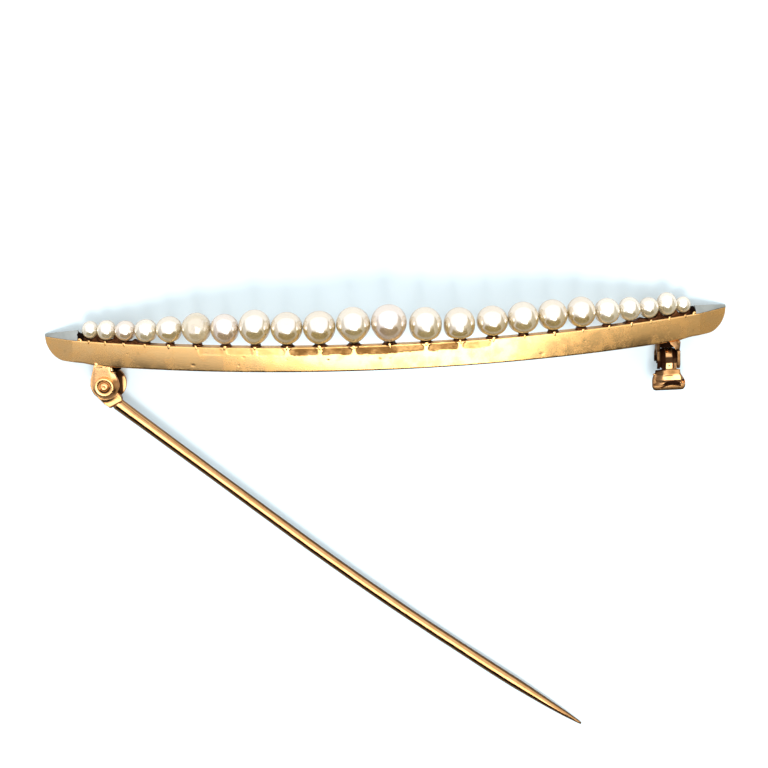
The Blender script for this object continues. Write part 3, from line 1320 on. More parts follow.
@dataclass
class HingeEars(Fitting):
    """The two ears that stand side by side on a soldered foot, and the solder around them.

    Attributes:
        bore: Radius of their holes.
        thick: Thickness of each.
        gap: Space between them.
        proud: How far the near ear stands out from the bar's face.
        slant: How much its face falls over a millimetre from right to left.
        neck: Outline of the ears between the holes and the bar.
        near_eye: Middle and radius of the near ear's round end.
        far_eye: The same of the far ear.
        solder: The bright lumps, from the bar's back edge at the height of the near ear's face.
        flux: The dark lumps, from the same place.
        around: Points around an ear.
    """

    bore: float = 0.36
    thick: float = 0.45
    gap: float = 1.0
    proud: float = 0.17
    slant: float = 0.15
    neck: Pairs = (
        (1.15, 0.7), (0.98, 1.1), (0.74, 1.4), (0.62, 1.86), (-0.66, 1.86), (-1.03, 0.6), (-0.5, -0.5),
        (0.5, -0.5),
    )
    near_eye: Triple = (0.1, 0.19, 1.16)
    far_eye: Triple = (0.34, -0.03, 1.36)
    solder: tuple[Lump, ...] = (
        Lump((-0.06, -0.03, -0.22), (0.44, 0.08, 0.13), 21),
        Lump((0.74, -0.3, -0.12), (0.13, 0.19, 0.12), 22),
        Lump((0.9, -0.52, -0.12), (0.16, 0.07, 0.12), 24),
    )
    flux: tuple[Lump, ...] = (
        Lump((1.1, -0.22, -0.62), (0.36, 0.32, 0.3), 25),
        Lump((-0.12, -0.06, -0.16), (0.2, 0.035, 0.05), 26),
    )
    around: int = 160

    def near_top(self) -> float:
        """Height of the near ear's face."""
        return self.arch.height(HINGE_X) + BAR_FACE + self.proud

    def pin_level(self) -> float:
        """Height of the pin's middle, half way between the ears."""
        return self.near_top() - self.thick - self.gap / 2

    def ear(self, low: float, high: float, near: bool) -> Shell:
        """One ear: a drilled plate whose outline is the larger of a circle beside the hole and the neck.

        A ray from the hole leaves a circle of radius R, whose middle lies at the distance d, after d
        cos(t) plus the root of R squared less d squared sin(t) squared, where t is its angle from that
        middle.

        Args:
            low: Height of its underside.
            high: Height of its upper side.
            near: Whether it is the near ear, whose face slants. The far one is larger to the right.

        Returns:
            The closed shell.
        """
        angles = turns(self.around)
        sin, cos = np.sin(angles), np.cos(angles)
        side, up, radius = self.near_eye if near else self.far_eye
        away = side * cos + up * sin
        circle = away + np.sqrt(radius**2 - (side**2 + up**2 - away**2))
        outer = np.maximum(circle, star_reach(angles, np.array(self.neck)))
        fall = (0.02 + 0.08 * ease(0.1, 0.9, -sin) + 0.06 * ease(0.3, 1.0, -cos)) * near
        reach, height = drilled_plate(self.bore, outer, low, high, 0.06, fall)
        across, along = reach * cos[:, None], reach * sin[:, None]
        upper = np.clip((height - low) / (high - low), 0.0, 1.0)
        if near:
            height = height - upper * self.slant * (1.2 - across)
            right = ease(0.66, 0.84, across) * (1 - ease(0.5, 0.9, along))
            below = ease(0.6, 0.95, -along)
            filed = 0.8 * right + 0.6 * below
            under = 0.95 * ease(-0.1, 0.4, cos - 1.3 * sin - 0.9)[:, None] * ease(1.08, 0.98, reach)
            tarnish = np.maximum(under, np.maximum(0.34 * right, 0.5 * below))
        else:
            filed = 0.2 + 0 * across
            tarnish = np.clip(ease(1.46, 1.36, across) * 0.97 + ease(0.45, 0.6, along), 0, 1)
        shell = Shell.wrapped(np.stack([across - HINGE_X, along - HINGE_Y, height], -1))
        shell.marks = {"filed": (filed * upper).reshape(-1), "tarnish": (tarnish * upper).reshape(-1)}
        return shell

    @staticmethod
    def block(low: Triple, high: Triple, cut: float) -> Shell:
        """Block with rounded edges: softened rectangles that draw in by a quarter circle at both ends.

        Args:
            low: Lowest corner.
            high: Highest corner.
            cut: Size of the rounding.

        Returns:
            The closed shell.
        """
        bend = quarter(4)
        inset = np.concatenate([cut * (1 - np.sin(bend)), cut * (1 - np.sin(bend[::-1]))])[:, None]
        z = np.concatenate([low[2] + cut * (1 - np.cos(bend)), high[2] - cut * (1 - np.cos(bend[::-1]))])
        x = np.concatenate([low[0] + inset, high[0] - inset, high[0] - inset, low[0] + inset], 1)
        y = np.concatenate([low[1] + inset, low[1] + inset, high[1] - inset, high[1] - inset], 1)
        ring = soften(np.stack([x, y], -1), cut, 5)
        return Shell.lofted(np.stack([ring[..., 0], ring[..., 1], z[:, None] + 0 * ring[..., 0]], -1))

    def build(self, gold: Material, solder: Material, dark: Material) -> None:
        """Makes the ears on their foot, the solder, and the dark flux beside the foot.

        Args:
            gold: Finish of the ears.
            solder: Finish of the solder.
            dark: Finish of the flux.
        """
        top = self.near_top()
        far = top - 2 * self.thick - self.gap
        ears = [self.ear(top - self.thick, top, True), self.ear(far, far + self.thick, False)]
        back = -BAR_EDGE
        low = (-HINGE_X - 0.62, back - 0.38, far + 0.02)
        foot = self.block(low, (-HINGE_X + 0.6, back + 0.3, top - 0.3), 0.06)
        Piece("hinge_ears", [*ears, foot], gold).make(self.stance)
        corner = np.array([-HINGE_X, back, top])
        lumps = [lump.shell(corner) for lump in self.solder]
        Piece("hinge_solder", lumps, solder).make(self.stance)
        shade = [lump.shell(corner) for lump in self.flux]
        Piece("hinge_flux", shade, dark).make(self.stance)


@dataclass
class CatchCheeks(Fitting):
    """The two cheeks that hold the turning collar, a gusset on the right one, and the bridge behind them.

    Attributes:
        thick: Thickness of a cheek.
        left: Where the left cheek's left side is, from the catch's middle.
        right: Where the right cheek's left side is.
        bore: Radius of the bore that the collar turns in.
        radius: Radius of the cheeks.
        jaw_deg: Directions of the ends of their jaws.
        rows: Sections around a cheek.
    """

    thick: float = 0.25
    left: float = -0.95
    right: float = 0.66
    bore: float = 0.80
    radius: float = 0.92
    jaw_deg: tuple[float, float] = (-115.0, 133.0)
    rows: int = 110

    def cheek(self, from_x: float, near: float) -> Shell:
        """One cheek: sections around the bore, from the end of the lower jaw to the end of the upper one.

        Args:
            from_x: Where its left side is, from the catch's middle.
            near: Height of the bar's outer face above the collar's axis.

        Returns:
            The closed shell, about the collar's axis.
        """
        angles = np.radians(np.linspace(*self.jaw_deg, self.rows))
        root = CATCH_Y - BAR_EDGE + 0.05
        dent = [[root, near], [1.5, near], [0.87, 0.52], [0.87, 0.91]]
        arm = np.array([[-0.3, -0.9], [0.0, -0.9], [root, near - 0.95], *dent, [0.0, 0.92], [-0.3, 0.9]])
        outer = np.maximum(self.radius, star_reach(angles, arm))
        reach, across = drilled_plate(self.bore, outer, from_x, from_x + self.thick, 0.04)
        rings = about_x(across, reach, angles[:, None])
        front = ease(0.22, 0.06, rings[..., 1])
        if from_x < 0:
            inner = 0.65 * ease(from_x + 0.16, from_x + 0.22, across)
            dark = 0.3 + np.maximum(0.7 * front, inner) + 0.4 * ease(1.25, 1.45, rings[..., 1])
        else:
            dark = 0.3 + 0.15 * front
        return Shell.lofted(rings, {"tarnish": np.clip(dark, 0, 1.0), "filed": 0.7 + 0 * dark})

    def gusset(self, near: float) -> Shell:
        """Bright fillet that widens the right cheek towards the bar: softened slabs whose inner side slants.

        Args:
            near: Height of the bar's outer face above the collar's axis.

        Returns:
            The closed shell, about the collar's axis.
        """
        back = np.linspace(1.03, CATCH_Y - 0.96, 24)[:, None]
        inner = 0.48 - 0.44 * ease(1.03, 1.65, back)
        outer = 0 * back + self.right + self.thick - 0.02
        top = near + 0.09 + 0 * back
        across = np.concatenate([inner, outer, outer, inner], 1)
        level = np.concatenate([top - 0.4, top - 0.4, top - 0.26, top], 1)
        ring = soften(np.stack([across, level], -1), 0.04, 5)
        points = np.stack([ring[..., 0], back + 0 * ring[..., 0], ring[..., 1]], -1)
        plain = ease(inner + 0.14, inner + 0.24, ring[..., 0])
        return Shell.lofted(points, {"filed": 0.75 * plain, "tarnish": 0.2 * plain})

    def bridge(self) -> Shell:
        """Dark bridge: softened slabs from the bar to just behind the drum.

        Returns:
            The closed shell, about the collar's axis.
        """
        back = np.linspace(CATCH_Y - 0.9, 0.99, 10)[:, None]
        half = 0.5 * (self.right + self.thick - self.left) - 0.12
        middle = 0.5 * (self.right + self.thick + self.left)
        across = middle + half * np.array([[-1.0, 1.0, 1.0, -1.0]]) + 0 * back
        level = np.array([[-0.42, -0.42, 0.16, 0.16]]) + 0 * back
        ring = soften(np.stack([across, level], -1), 0.05, 4)
        return Shell.lofted(np.stack([ring[..., 0], back + 0 * ring[..., 0], ring[..., 1]], -1))

    def build(self, level: float, gold: Material, dark: Material) -> None:
        """Makes both cheeks with the gusset, and the bridge.

        Args:
            level: Height of the collar's axis.
            gold: Finish of the cheeks.
            dark: Finish of the bridge.
        """
        near = self.arch.height(CATCH_X) + BAR_FACE - level
        axis = np.array([CATCH_X, -CATCH_Y, level])
        cheeks = [self.cheek(self.left, near), self.cheek(self.right, near), self.gusset(near)]
        for name, shells, finish in (("catch_cheeks", cheeks, gold), ("catch_bridge", [self.bridge()], dark)):
            shells = [shell.moved(shell.points + axis) for shell in shells]
            Piece(name, shells, finish).make(self.stance)


@dataclass
class CatchCollar(Fitting):
    """The turning collar: a slotted drum between the cheeks, and its thumb tab with a hollow and a lip.

    Attributes:
        collar: Radius where it turns in the cheeks.
        drum: Radius between them.
        bore: Radius of its bore.
        slot: Half the width of its slot.
        left: Its left end, from the catch's middle.
        drum_left: The drum's left end.
        drum_right: The drum's right end.
        right: Its right end.
        under: Height of the tab's underside above the axis.
        lip: Where the lip's rounded end begins, from the axis.
        lip_long: Length of that end.
        stripe: Left and right side of the bright stripe on the drum.
        spark: The bright worn spot on the tab's left corner, from the axis.
        around: Sections around the drum.
    """

    collar: float = 0.77
    drum: float = 0.93
    bore: float = 0.59
    slot: float = 0.57
    left: float = -0.82
    drum_left: float = -0.63
    drum_right: float = 0.60
    right: float = 0.84
    under: float = 0.6
    lip: float = 2.0
    lip_long: float = 0.42
    stripe: tuple[float, float] = (-0.25, 0.21)
    spark: Lump = Lump((-1.12, -1.06, 0.74), (0.16, 0.08, 0.1), 27)
    around: int = 96

    def barrel(self) -> Shell:
        """The drum: a softened section, turned from one side of the slot to the other.

        The slot's sides are level, so a point at the radius r turns as far as the angle whose sine is
        slot over r.

        Returns:
            The closed shell, about its axis.
        """
        left, right, drum = self.drum_left, self.drum_right, self.drum
        bore = [[self.left, self.bore], [0.0, self.bore], [self.right, self.bore], [self.right, self.collar]]
        over = [[right, self.collar], [right - 0.02, drum - 0.1], [right - 0.3, drum], [left + 0.35, drum]]
        back = [[left + 0.02, drum - 0.1], [left, self.collar], [self.left, self.collar]]
        ring = soften(np.array(bore + over + back), 0.06, 6)
        share = np.linspace(-1.0, 1.0, self.around)[:, None]
        x, r = ring[None, :, 0], ring[None, :, 1]
        angle = share * (math.pi - np.arcsin(np.clip(self.slot / r, 0, 0.98)))
        rings = about_x(x, r, angle)
        return Shell.lofted(rings, {"tarnish": self.shade(rings[..., 0], -rings[..., 1])})

    def shade(self, x: np.ndarray, v: np.ndarray) -> np.ndarray:
        """How tarnished the collar is: dark in a band behind its boss and down both flanks.

        Args:
            x: Distance across.
            v: Distance from the axis away from the bar.

        Returns:
            A mark from 0 to 1.
        """
        flank = ease(0.22, 0.28, np.abs(x)) * (1 - 0.62 * ease(0.3, 0.45, x) * ease(-0.3, 0.0, v))
        flank = flank * (1 - ease(0.56 - 0.2 * x, 0.68 - 0.2 * x, v))
        band = ease(-0.42, -0.36, v) * (1 - ease(0.06, 0.12, v)) * (0.75 + 0.2 * ease(0.1, 0.2, np.abs(x)))
        core = 0.6 * ease(0.1, 0.05, np.abs(x)) * ease(0.22, 0.26, v) * (1 - ease(0.36, 0.4, v))
        ridge = 0.6 * ease(0.55, 0.58, v) * (1 - ease(0.62, 0.66, v))
        side = (0.85 - 0.43 * ease(0.85, 1.15, v)) * ease(0.36, 0.6, -x)
        side = side * ease(0.5, 0.6, v) * (1 - ease(1.9, 2.1, v))
        bend = v - 0.2 * x**2
        streak = 0.7 * ease(1.06, 1.12, bend) * (1 - ease(1.14, 1.2, bend)) * ease(0.5, 0.25, np.abs(x + 0.1))
        return np.clip(np.maximum.reduce([flank, band, core, ridge, side, streak]), 0.0, 1.0)

    def crown(self, x: np.ndarray, v: np.ndarray) -> np.ndarray:
        """Height of the tab's upper side: a level face, falling flanks, a crescent hollow and a lower lip.

        Args:
            x: Distance across the tab.
            v: Distance from the collar's axis.

        Returns:
            The height above the axis.
        """
        face = 0.94 + 0.03 * ease(0.6, 0.7, v) + 0.01 * ease(0.7, 1.5, v)
        left, right = 0.34 + 0.3 * (v - 0.66), 0.87 + 0.1 * (v - 0.66)
        flank = 0.42 * ease(left - 0.04, left + 0.6, -x) + 0.36 * ease(right - 0.04, right + 0.35, x)
        flank = flank * ease(0.95, 1.15, v) * (1 - ease(1.75, 2.05, v))
        bow = ((x - 0.12) / 0.8) ** 2 - 0.4 * (x - 0.12) / 0.8
        near, far = 0.33 * bow, 0.2 * bow
        hollow = ease(1.60 + near, 1.66 + near, v) * (1 - ease(1.90 + far, 1.99 + far, v))
        lip = 0.14 * ease(1.5, 1.75, v)
        return face - flank - 0.5 * hollow * ease(0.84, 0.74, np.abs(x - 0.12)) - lip

    def tab(self) -> Shell:
        """The tab: rings across it, from its neck to its lip, with its underside raised beside the neck.

        Its half width is that of the neck, then steps out and flares, and closes at the lip in a quarter
        circle.

        Returns:
            The closed shell, about the collar's axis.
        """
        close = self.lip + self.lip_long * np.sin(np.linspace(0, 1, 14)[1:] * math.pi / 2)
        v = np.concatenate([np.linspace(0.1, 1.2, 56), np.linspace(1.22, self.lip, 48), close])[:, None]
        tuck = np.clip((v - self.lip) / self.lip_long, 0.0, 0.999)
        draw = 0.3 * (1 - np.sqrt(1 - tuck**2))
        step = ease(0.60, 0.65, v)
        left = 0.60 + 0.52 * step + 0.22 * ease(0.65, 1.6, v) - draw
        right = 0.60 + 0.28 * step + 0.47 * ease(0.75, 1.85, v) - draw
        share = np.linspace(-1.0, 1.0, 91)[None, :]
        x_top = np.where(share < 0, left, right) * share
        roll = np.sqrt(np.clip(1 - np.clip((np.abs(share) - 0.82) / 0.18, 0, 1) ** 2, 0.0, None))
        end = np.sqrt(1 - np.clip(tuck, 0, 0.98) ** 2)
        crown = self.crown(x_top, v)
        raised = 0.3 * (1 - ease(0.94, 0.97, v))
        side = self.under + 0.03 + 0.05 * ease(0.94, 0.97, v) + raised
        z_top = side + (crown - side) * roll * end
        back = np.linspace(0.94, -0.94, 21)[None, :]
        x_low = np.where(back < 0, left, right) * back
        z_low = self.under + 0.01 * (np.abs(back) > 0.9) + raised * (np.abs(x_low) > 0.5)
        x = np.concatenate([x_top, x_low], 1)
        z = np.concatenate([z_top, z_low], 1)
        deep = ease(0.72, 0.6, z) * ease(1.5, 1.6, v) * (1 - ease(self.lip, self.lip + 0.1, v))
        deep = deep * ease(0.9, 0.8, np.abs(x - 0.12))
        tarnish = np.clip(np.maximum(self.shade(x, v + 0 * x), deep), 0, 1)
        filed = 0.75 * ease(1.85, 2.0, v) + 0.35 * ease(0.3, 0.7, -x) * ease(0.7, 0.9, v)
        filed = filed + 0.55 * ease(0.3, 0.4, x) * (1 - ease(0.6, 0.7, v))
        filed = filed + 0.8 * ease(0.5, 0.66, v) * ease(1.2, 0.95, v)
        marks = {"tarnish": tarnish, "filed": np.clip(filed + 0 * x, 0, 0.8)}
        return Shell.lofted(np.stack([x, -v + 0 * x, z], -1), marks)

    def build(self, level: float, rose: Material, worn: Material) -> None:
        """Makes the collar with its tab, standing for its node, and the two spots where it is worn bright.

        Args:
            level: Height of the collar's axis.
            rose: Its finish.
            worn: Finish of the bright spots.
        """
        axis = np.array([CATCH_X, -CATCH_Y, level])
        shells = [s.moved(s.points + axis) for s in (self.barrel(), self.tab())]
        Piece("catch_collar_dressed", shells, rose, "catch", "rose_gold", ("catch_collar",)).make(self.stance)
        angle = np.linspace(0.08, 0.66, 14)[:, None] * math.pi / 2
        (start, end), low, high = self.stripe, self.drum - 0.03, self.drum + 0.02
        ring = soften(np.array([[start, low], [end, low], [end, high], [start, high]]), 0.02, 3)[None]
        stripe = Shell.lofted(about_x(ring[..., 0], ring[..., 1], angle) + axis)
        spots = [stripe, self.spark.shell(axis)]
        Piece("catch_worn_spots", spots, worn, "catch", "rose_gold").make(self.stance)


@dataclass
class HingeRivet(Fitting):
    """The rivet through the hinge: a pale rolled ring, a groove, a dome with a dimple, and a plain far head.

    Attributes:
        shank: Radius between the ears.
        tilt: How much the near head falls over a millimetre from right to left.
        shift: How far it sits from the hinge's axis.
        dome: Radius and height of points on the dome, from its middle.
        hole: Radius and height of points under the ring, from its middle.
        ring: Radius and height of points on the ring.
        far_head: Radius and depth of points on the far head.
    """

    shank: float = 0.35
    tilt: float = 0.06
    shift: tuple[float, float] = (0.06, 0.1)
    dome: Pairs = (
        (0.03, 0.17), (0.07, 0.18), (0.10, 0.21), (0.16, 0.23), (0.24, 0.21), (0.32, 0.15), (0.38, 0.08),
        (0.41, 0.0),
    )
    hole: Pairs = ((0.05, -0.1), (0.2, 0.02))
    ring: Pairs = (
        (0.30, 0.03), (0.43, 0.035), (0.46, 0.05), (0.49, 0.14), (0.53, 0.19), (0.59, 0.215),
        (0.65, 0.226), (0.71, 0.222), (0.765, 0.19), (0.785, 0.12), (0.785, 0.02), (0.77, -0.14),
    )
    far_head: Pairs = (
        (0.35, 0.01), (0.62, 0.01), (0.67, 0.03), (0.68, 0.06), (0.64, 0.11), (0.5, 0.145), (0.2, 0.15),
    )

    @staticmethod
    def smooth(profile: Pairs) -> np.ndarray:
        """Smooths a profile by a cubic through its points, each with the slope of its two neighbours.

        Args:
            profile: Radius and height of each point.

        Returns:
            Four points for each one given.
        """
        knots = np.array(profile)
        fine = np.linspace(0, len(knots) - 1, 4 * len(knots))
        base = np.clip(np.floor(fine).astype(int), 0, len(knots) - 2)
        f = (fine - base)[:, None]
        p = [knots[np.clip(base + k, 0, len(knots) - 1)] for k in (-1, 0, 1, 2)]
        bend = 2 * p[0] - 5 * p[1] + 4 * p[2] - p[3]
        return p[1] + 0.5 * f * (p[2] - p[0] + f * (bend + f * (3 * (p[1] - p[2]) + p[3] - p[0])))

    def build(self, top: float, thick: float, rose: Material, pale: Material) -> None:
        """Makes the rivet: its parts turned about the hinge's axis, the head tipped with the near ear's face.

        Args:
            top: Height of the near ear's face.
            thick: Height of both ears and the space between them.
            rose: Finish of the dome.
            pale: Finish of the ring and the far head.
        """
        rest = [(self.shank, -0.16), *((radius, -thick - deep) for radius, deep in self.far_head)]
        shells = []
        for path in (np.concatenate([self.hole, self.smooth(self.ring), rest]), self.smooth(self.dome)):
            shell = Shell.turned(path[:, 0], path[:, 1], 72)
            x, y, z = shell.points.T
            reach = np.maximum(np.hypot(x, y), 0.01)
            low = ease(0.1, 0.5, (0.25 * x - y) / reach)
            shell.marks = {"tarnish": ease(0.53, 0.46, reach) * ease(0.36, 0.42, reach) * (0.45 + 0.55 * low)}
            head = ease(-0.3, -0.15, z)
            x, y, z = x + self.shift[0] * head, y + self.shift[1] * head, z - self.tilt * (0.9 - x) * head
            shells.append(shell.moved(np.stack([x - HINGE_X, y - HINGE_Y, z + top], -1)))
        ring = Piece("hinge_rivet_ring", shells[:1], pale, "crescent", "rose_gold", ("hinge_rivet",))
        ring.make(self.stance)
        Piece("hinge_rivet_dome", shells[1:], rose, "crescent", "rose_gold").make(self.stance)


@dataclass
class PinStem(Fitting):
    """The pin: a drilled knuckle plate between the ears, a stem that bows gently, and its point.

    Attributes:
        heading_deg: Direction of the stem at its root, below X.
        knuckle: Radius of the knuckle.
        bore: Radius of its hole.
        thick: Thickness of the plate.
        shoulder: Outline of the plate towards the stem.
        offset: Distance of the stem's line from the hinge.
        radii: Stem radius at distances along it.
        straight_to: Where the stem's bow begins.
        bow: Length of the bow.
        bow_deg: Angle that the bow turns through.
        point: Length of the straight point.
        lift: How far the stem arches up before its point.
        lift_from: Over which distances it rises.
        lift_to: Over which distances it falls again.
    """

    heading_deg: float = 40.96
    knuckle: float = 1.05
    bore: float = 0.39
    thick: float = 0.88
    shoulder: Pairs = (
        (-0.1, -1.03), (0.9, -1.2), (1.5, -1.17), (1.93, -0.16), (1.6, 0.12), (0.9, 0.3), (0.0, 0.6),
        (-0.4, 0.0),
    )
    offset: float = 0.60
    radii: Pairs = (
        (1.62, 0.40), (1.66, 0.455), (1.74, 0.49), (1.9, 0.50), (3.7, 0.48), (10.7, 0.44), (42.6, 0.44),
        (44.0, 0.40), (46.0, 0.33), (47.9, 0.235), (49.4, 0.11), (49.56, 0.08),
    )
    straight_to: float = 19.2
    bow: float = 20.5
    bow_deg: float = 4.32
    point: float = 9.86
    lift: float = 0.16
    lift_from: tuple[float, float] = (36.0, 42.0)
    lift_to: tuple[float, float] = (45.5, 50.0)

    def plate(self) -> Shell:
        """The knuckle: a drilled plate whose outline is the larger of a circle and the flat shoulder.

        Returns:
            The closed shell, about the hinge, with the stem along X.
        """
        angles = turns(120)
        outer = np.maximum(self.knuckle, star_reach(angles, np.array(self.shoulder)))
        reach, height = drilled_plate(self.bore, outer, -self.thick / 2, self.thick / 2, 0.06)
        shrink = 1 - 0.07 * ease(1.05, 1.4, reach)
        x, y = reach * np.cos(angles)[:, None], reach * np.sin(angles)[:, None]
        shell = Shell.wrapped(np.stack([x, y, height * shrink], -1))
        shell.marks = {"tarnish": (0.95 * ease(1.8, 1.87, x - 0.43 * y)).reshape(-1)}
        return shell

    def stem(self) -> Shell:
        """The stem: circles carried along a straight line, then an arc, then a straight line to the point.

        Returns:
            The closed shell, about the hinge, with its root along X.
        """
        end = self.straight_to + self.bow + self.point
        run = np.unique(np.concatenate([np.linspace(1.62, 2.2, 14), np.linspace(2.2, end, 260), [end]]))
        bend = math.radians(self.bow_deg)
        curve = self.bow / bend
        turn = np.clip((run - self.straight_to) / self.bow, 0.0, 1.0) * bend
        rest = np.clip(run - self.straight_to - self.bow, 0.0, None)
        x = np.minimum(run, self.straight_to) + curve * np.sin(turn) + rest * np.cos(turn)
        y = -self.offset + curve * (1 - np.cos(turn)) + rest * np.sin(turn)
        knots = np.array(self.radii)
        radius = np.interp(run, knots[:, 0], knots[:, 1])
        wander = 0.004 * drift(run * 0.7, run * 0, 31) * ease(2.0, 4.0, run) * (1 - ease(40.0, 44.0, run))
        radius = radius + wander
        angle = turns(48)[None, :]
        across = radius[:, None] * np.cos(angle)
        flat = 1 - 0.12 * (1 - ease(1.9, 3.4, run))[:, None]
        arched = self.lift * (ease(*self.lift_from, run) * (1 - ease(*self.lift_to, run)))
        z = radius[:, None] * np.sin(angle) * flat + arched[:, None]
        x = x[:, None] - across * np.sin(turn)[:, None]
        rings = np.stack([x, y[:, None] + across * np.cos(turn)[:, None], z], -1)
        tip_round = np.array([0.75, 0.35])[:, None, None]
        tail = rings[-1].mean(0) + (rings[-1] - rings[-1].mean(0)) * tip_round
        ahead = np.array([math.cos(bend), math.sin(bend), 0.0])
        tail = tail + ahead * np.array([0.02, 0.035])[:, None, None]
        return Shell.lofted(np.concatenate([rings, tail]))

    def build(self, level: float, rose: Material) -> None:
        """Makes the pin, standing for its node.

        Args:
            level: Height of the pin's middle.
            rose: Its finish.
        """
        sin, cos = math.sin(math.radians(self.heading_deg)), math.cos(math.radians(self.heading_deg))
        shells = []
        for shell in (self.plate(), self.stem()):
            x, y, z = shell.points.T
            place = np.stack([x * cos + y * sin - HINGE_X, y * cos - x * sin - HINGE_Y, z + level], -1)
            shells.append(shell.moved(place))
        Piece("pin_dressed", shells, rose, "pin", "rose_gold", ("pin_stem",)).make(self.stance)


@dataclass(frozen=True)
class Window:
    """Bright or dark rectangle in the sky with soft edges.

    Attributes:
        lean_deg: How far its middle lies from overhead, towards -Y.
        turn_deg: How far it lies from overhead, towards X.
        size: Tangents of its half width and half height.
        soft: Width of its soft edge.
        colour: What it shines with.
        spin_deg: How far it is turned about its middle.
    """

    lean_deg: float
    turn_deg: float
    size: tuple[float, float]
    soft: float
    colour: Colour
    spin_deg: float = 0.0

    def mask(self, graph: Graph, look: Socket) -> Socket:
        """Mask of the rectangle.

        A direction falls on the rectangle's plane at its parts across and along it, over its part towards
        it.

        Args:
            graph: The world's nodes.
            look: Direction looked in.

        Returns:
            The mask, from 0 to 1.
        """
        lean, turn, spin = (math.radians(angle) for angle in (self.lean_deg, self.turn_deg, self.spin_deg))
        middle = Vector((math.sin(turn), -math.sin(lean) * math.cos(turn), math.cos(lean) * math.cos(turn)))
        right = Vector((1.0, 0.0, 0.0)) - middle * middle.x
        right.normalize()
        ahead_of = middle.cross(right)
        across = right * math.cos(spin) - ahead_of * math.sin(spin)
        along = ahead_of * math.cos(spin) + right * math.sin(spin)
        dots = (
            graph.add("ShaderNodeVectorMath", {0: look, 1: tuple(v)}, operation="DOT_PRODUCT")
            for v in (middle, across, along)
        )
        ahead, side, up = (dot.outputs["Value"] for dot in dots)
        near = graph.math("MAXIMUM", ahead, 0.02)
        mask = graph.remap(ahead, 0.02, 0.06, 0.0, 1.0)
        for part, half in zip((side, up), self.size):
            place = graph.math("ABSOLUTE", graph.math("DIVIDE", part, near))
            edge = graph.remap(place, half - self.soft, half + self.soft, 1.0, 0.0)
            mask = graph.math("MULTIPLY", mask, edge)
        return mask


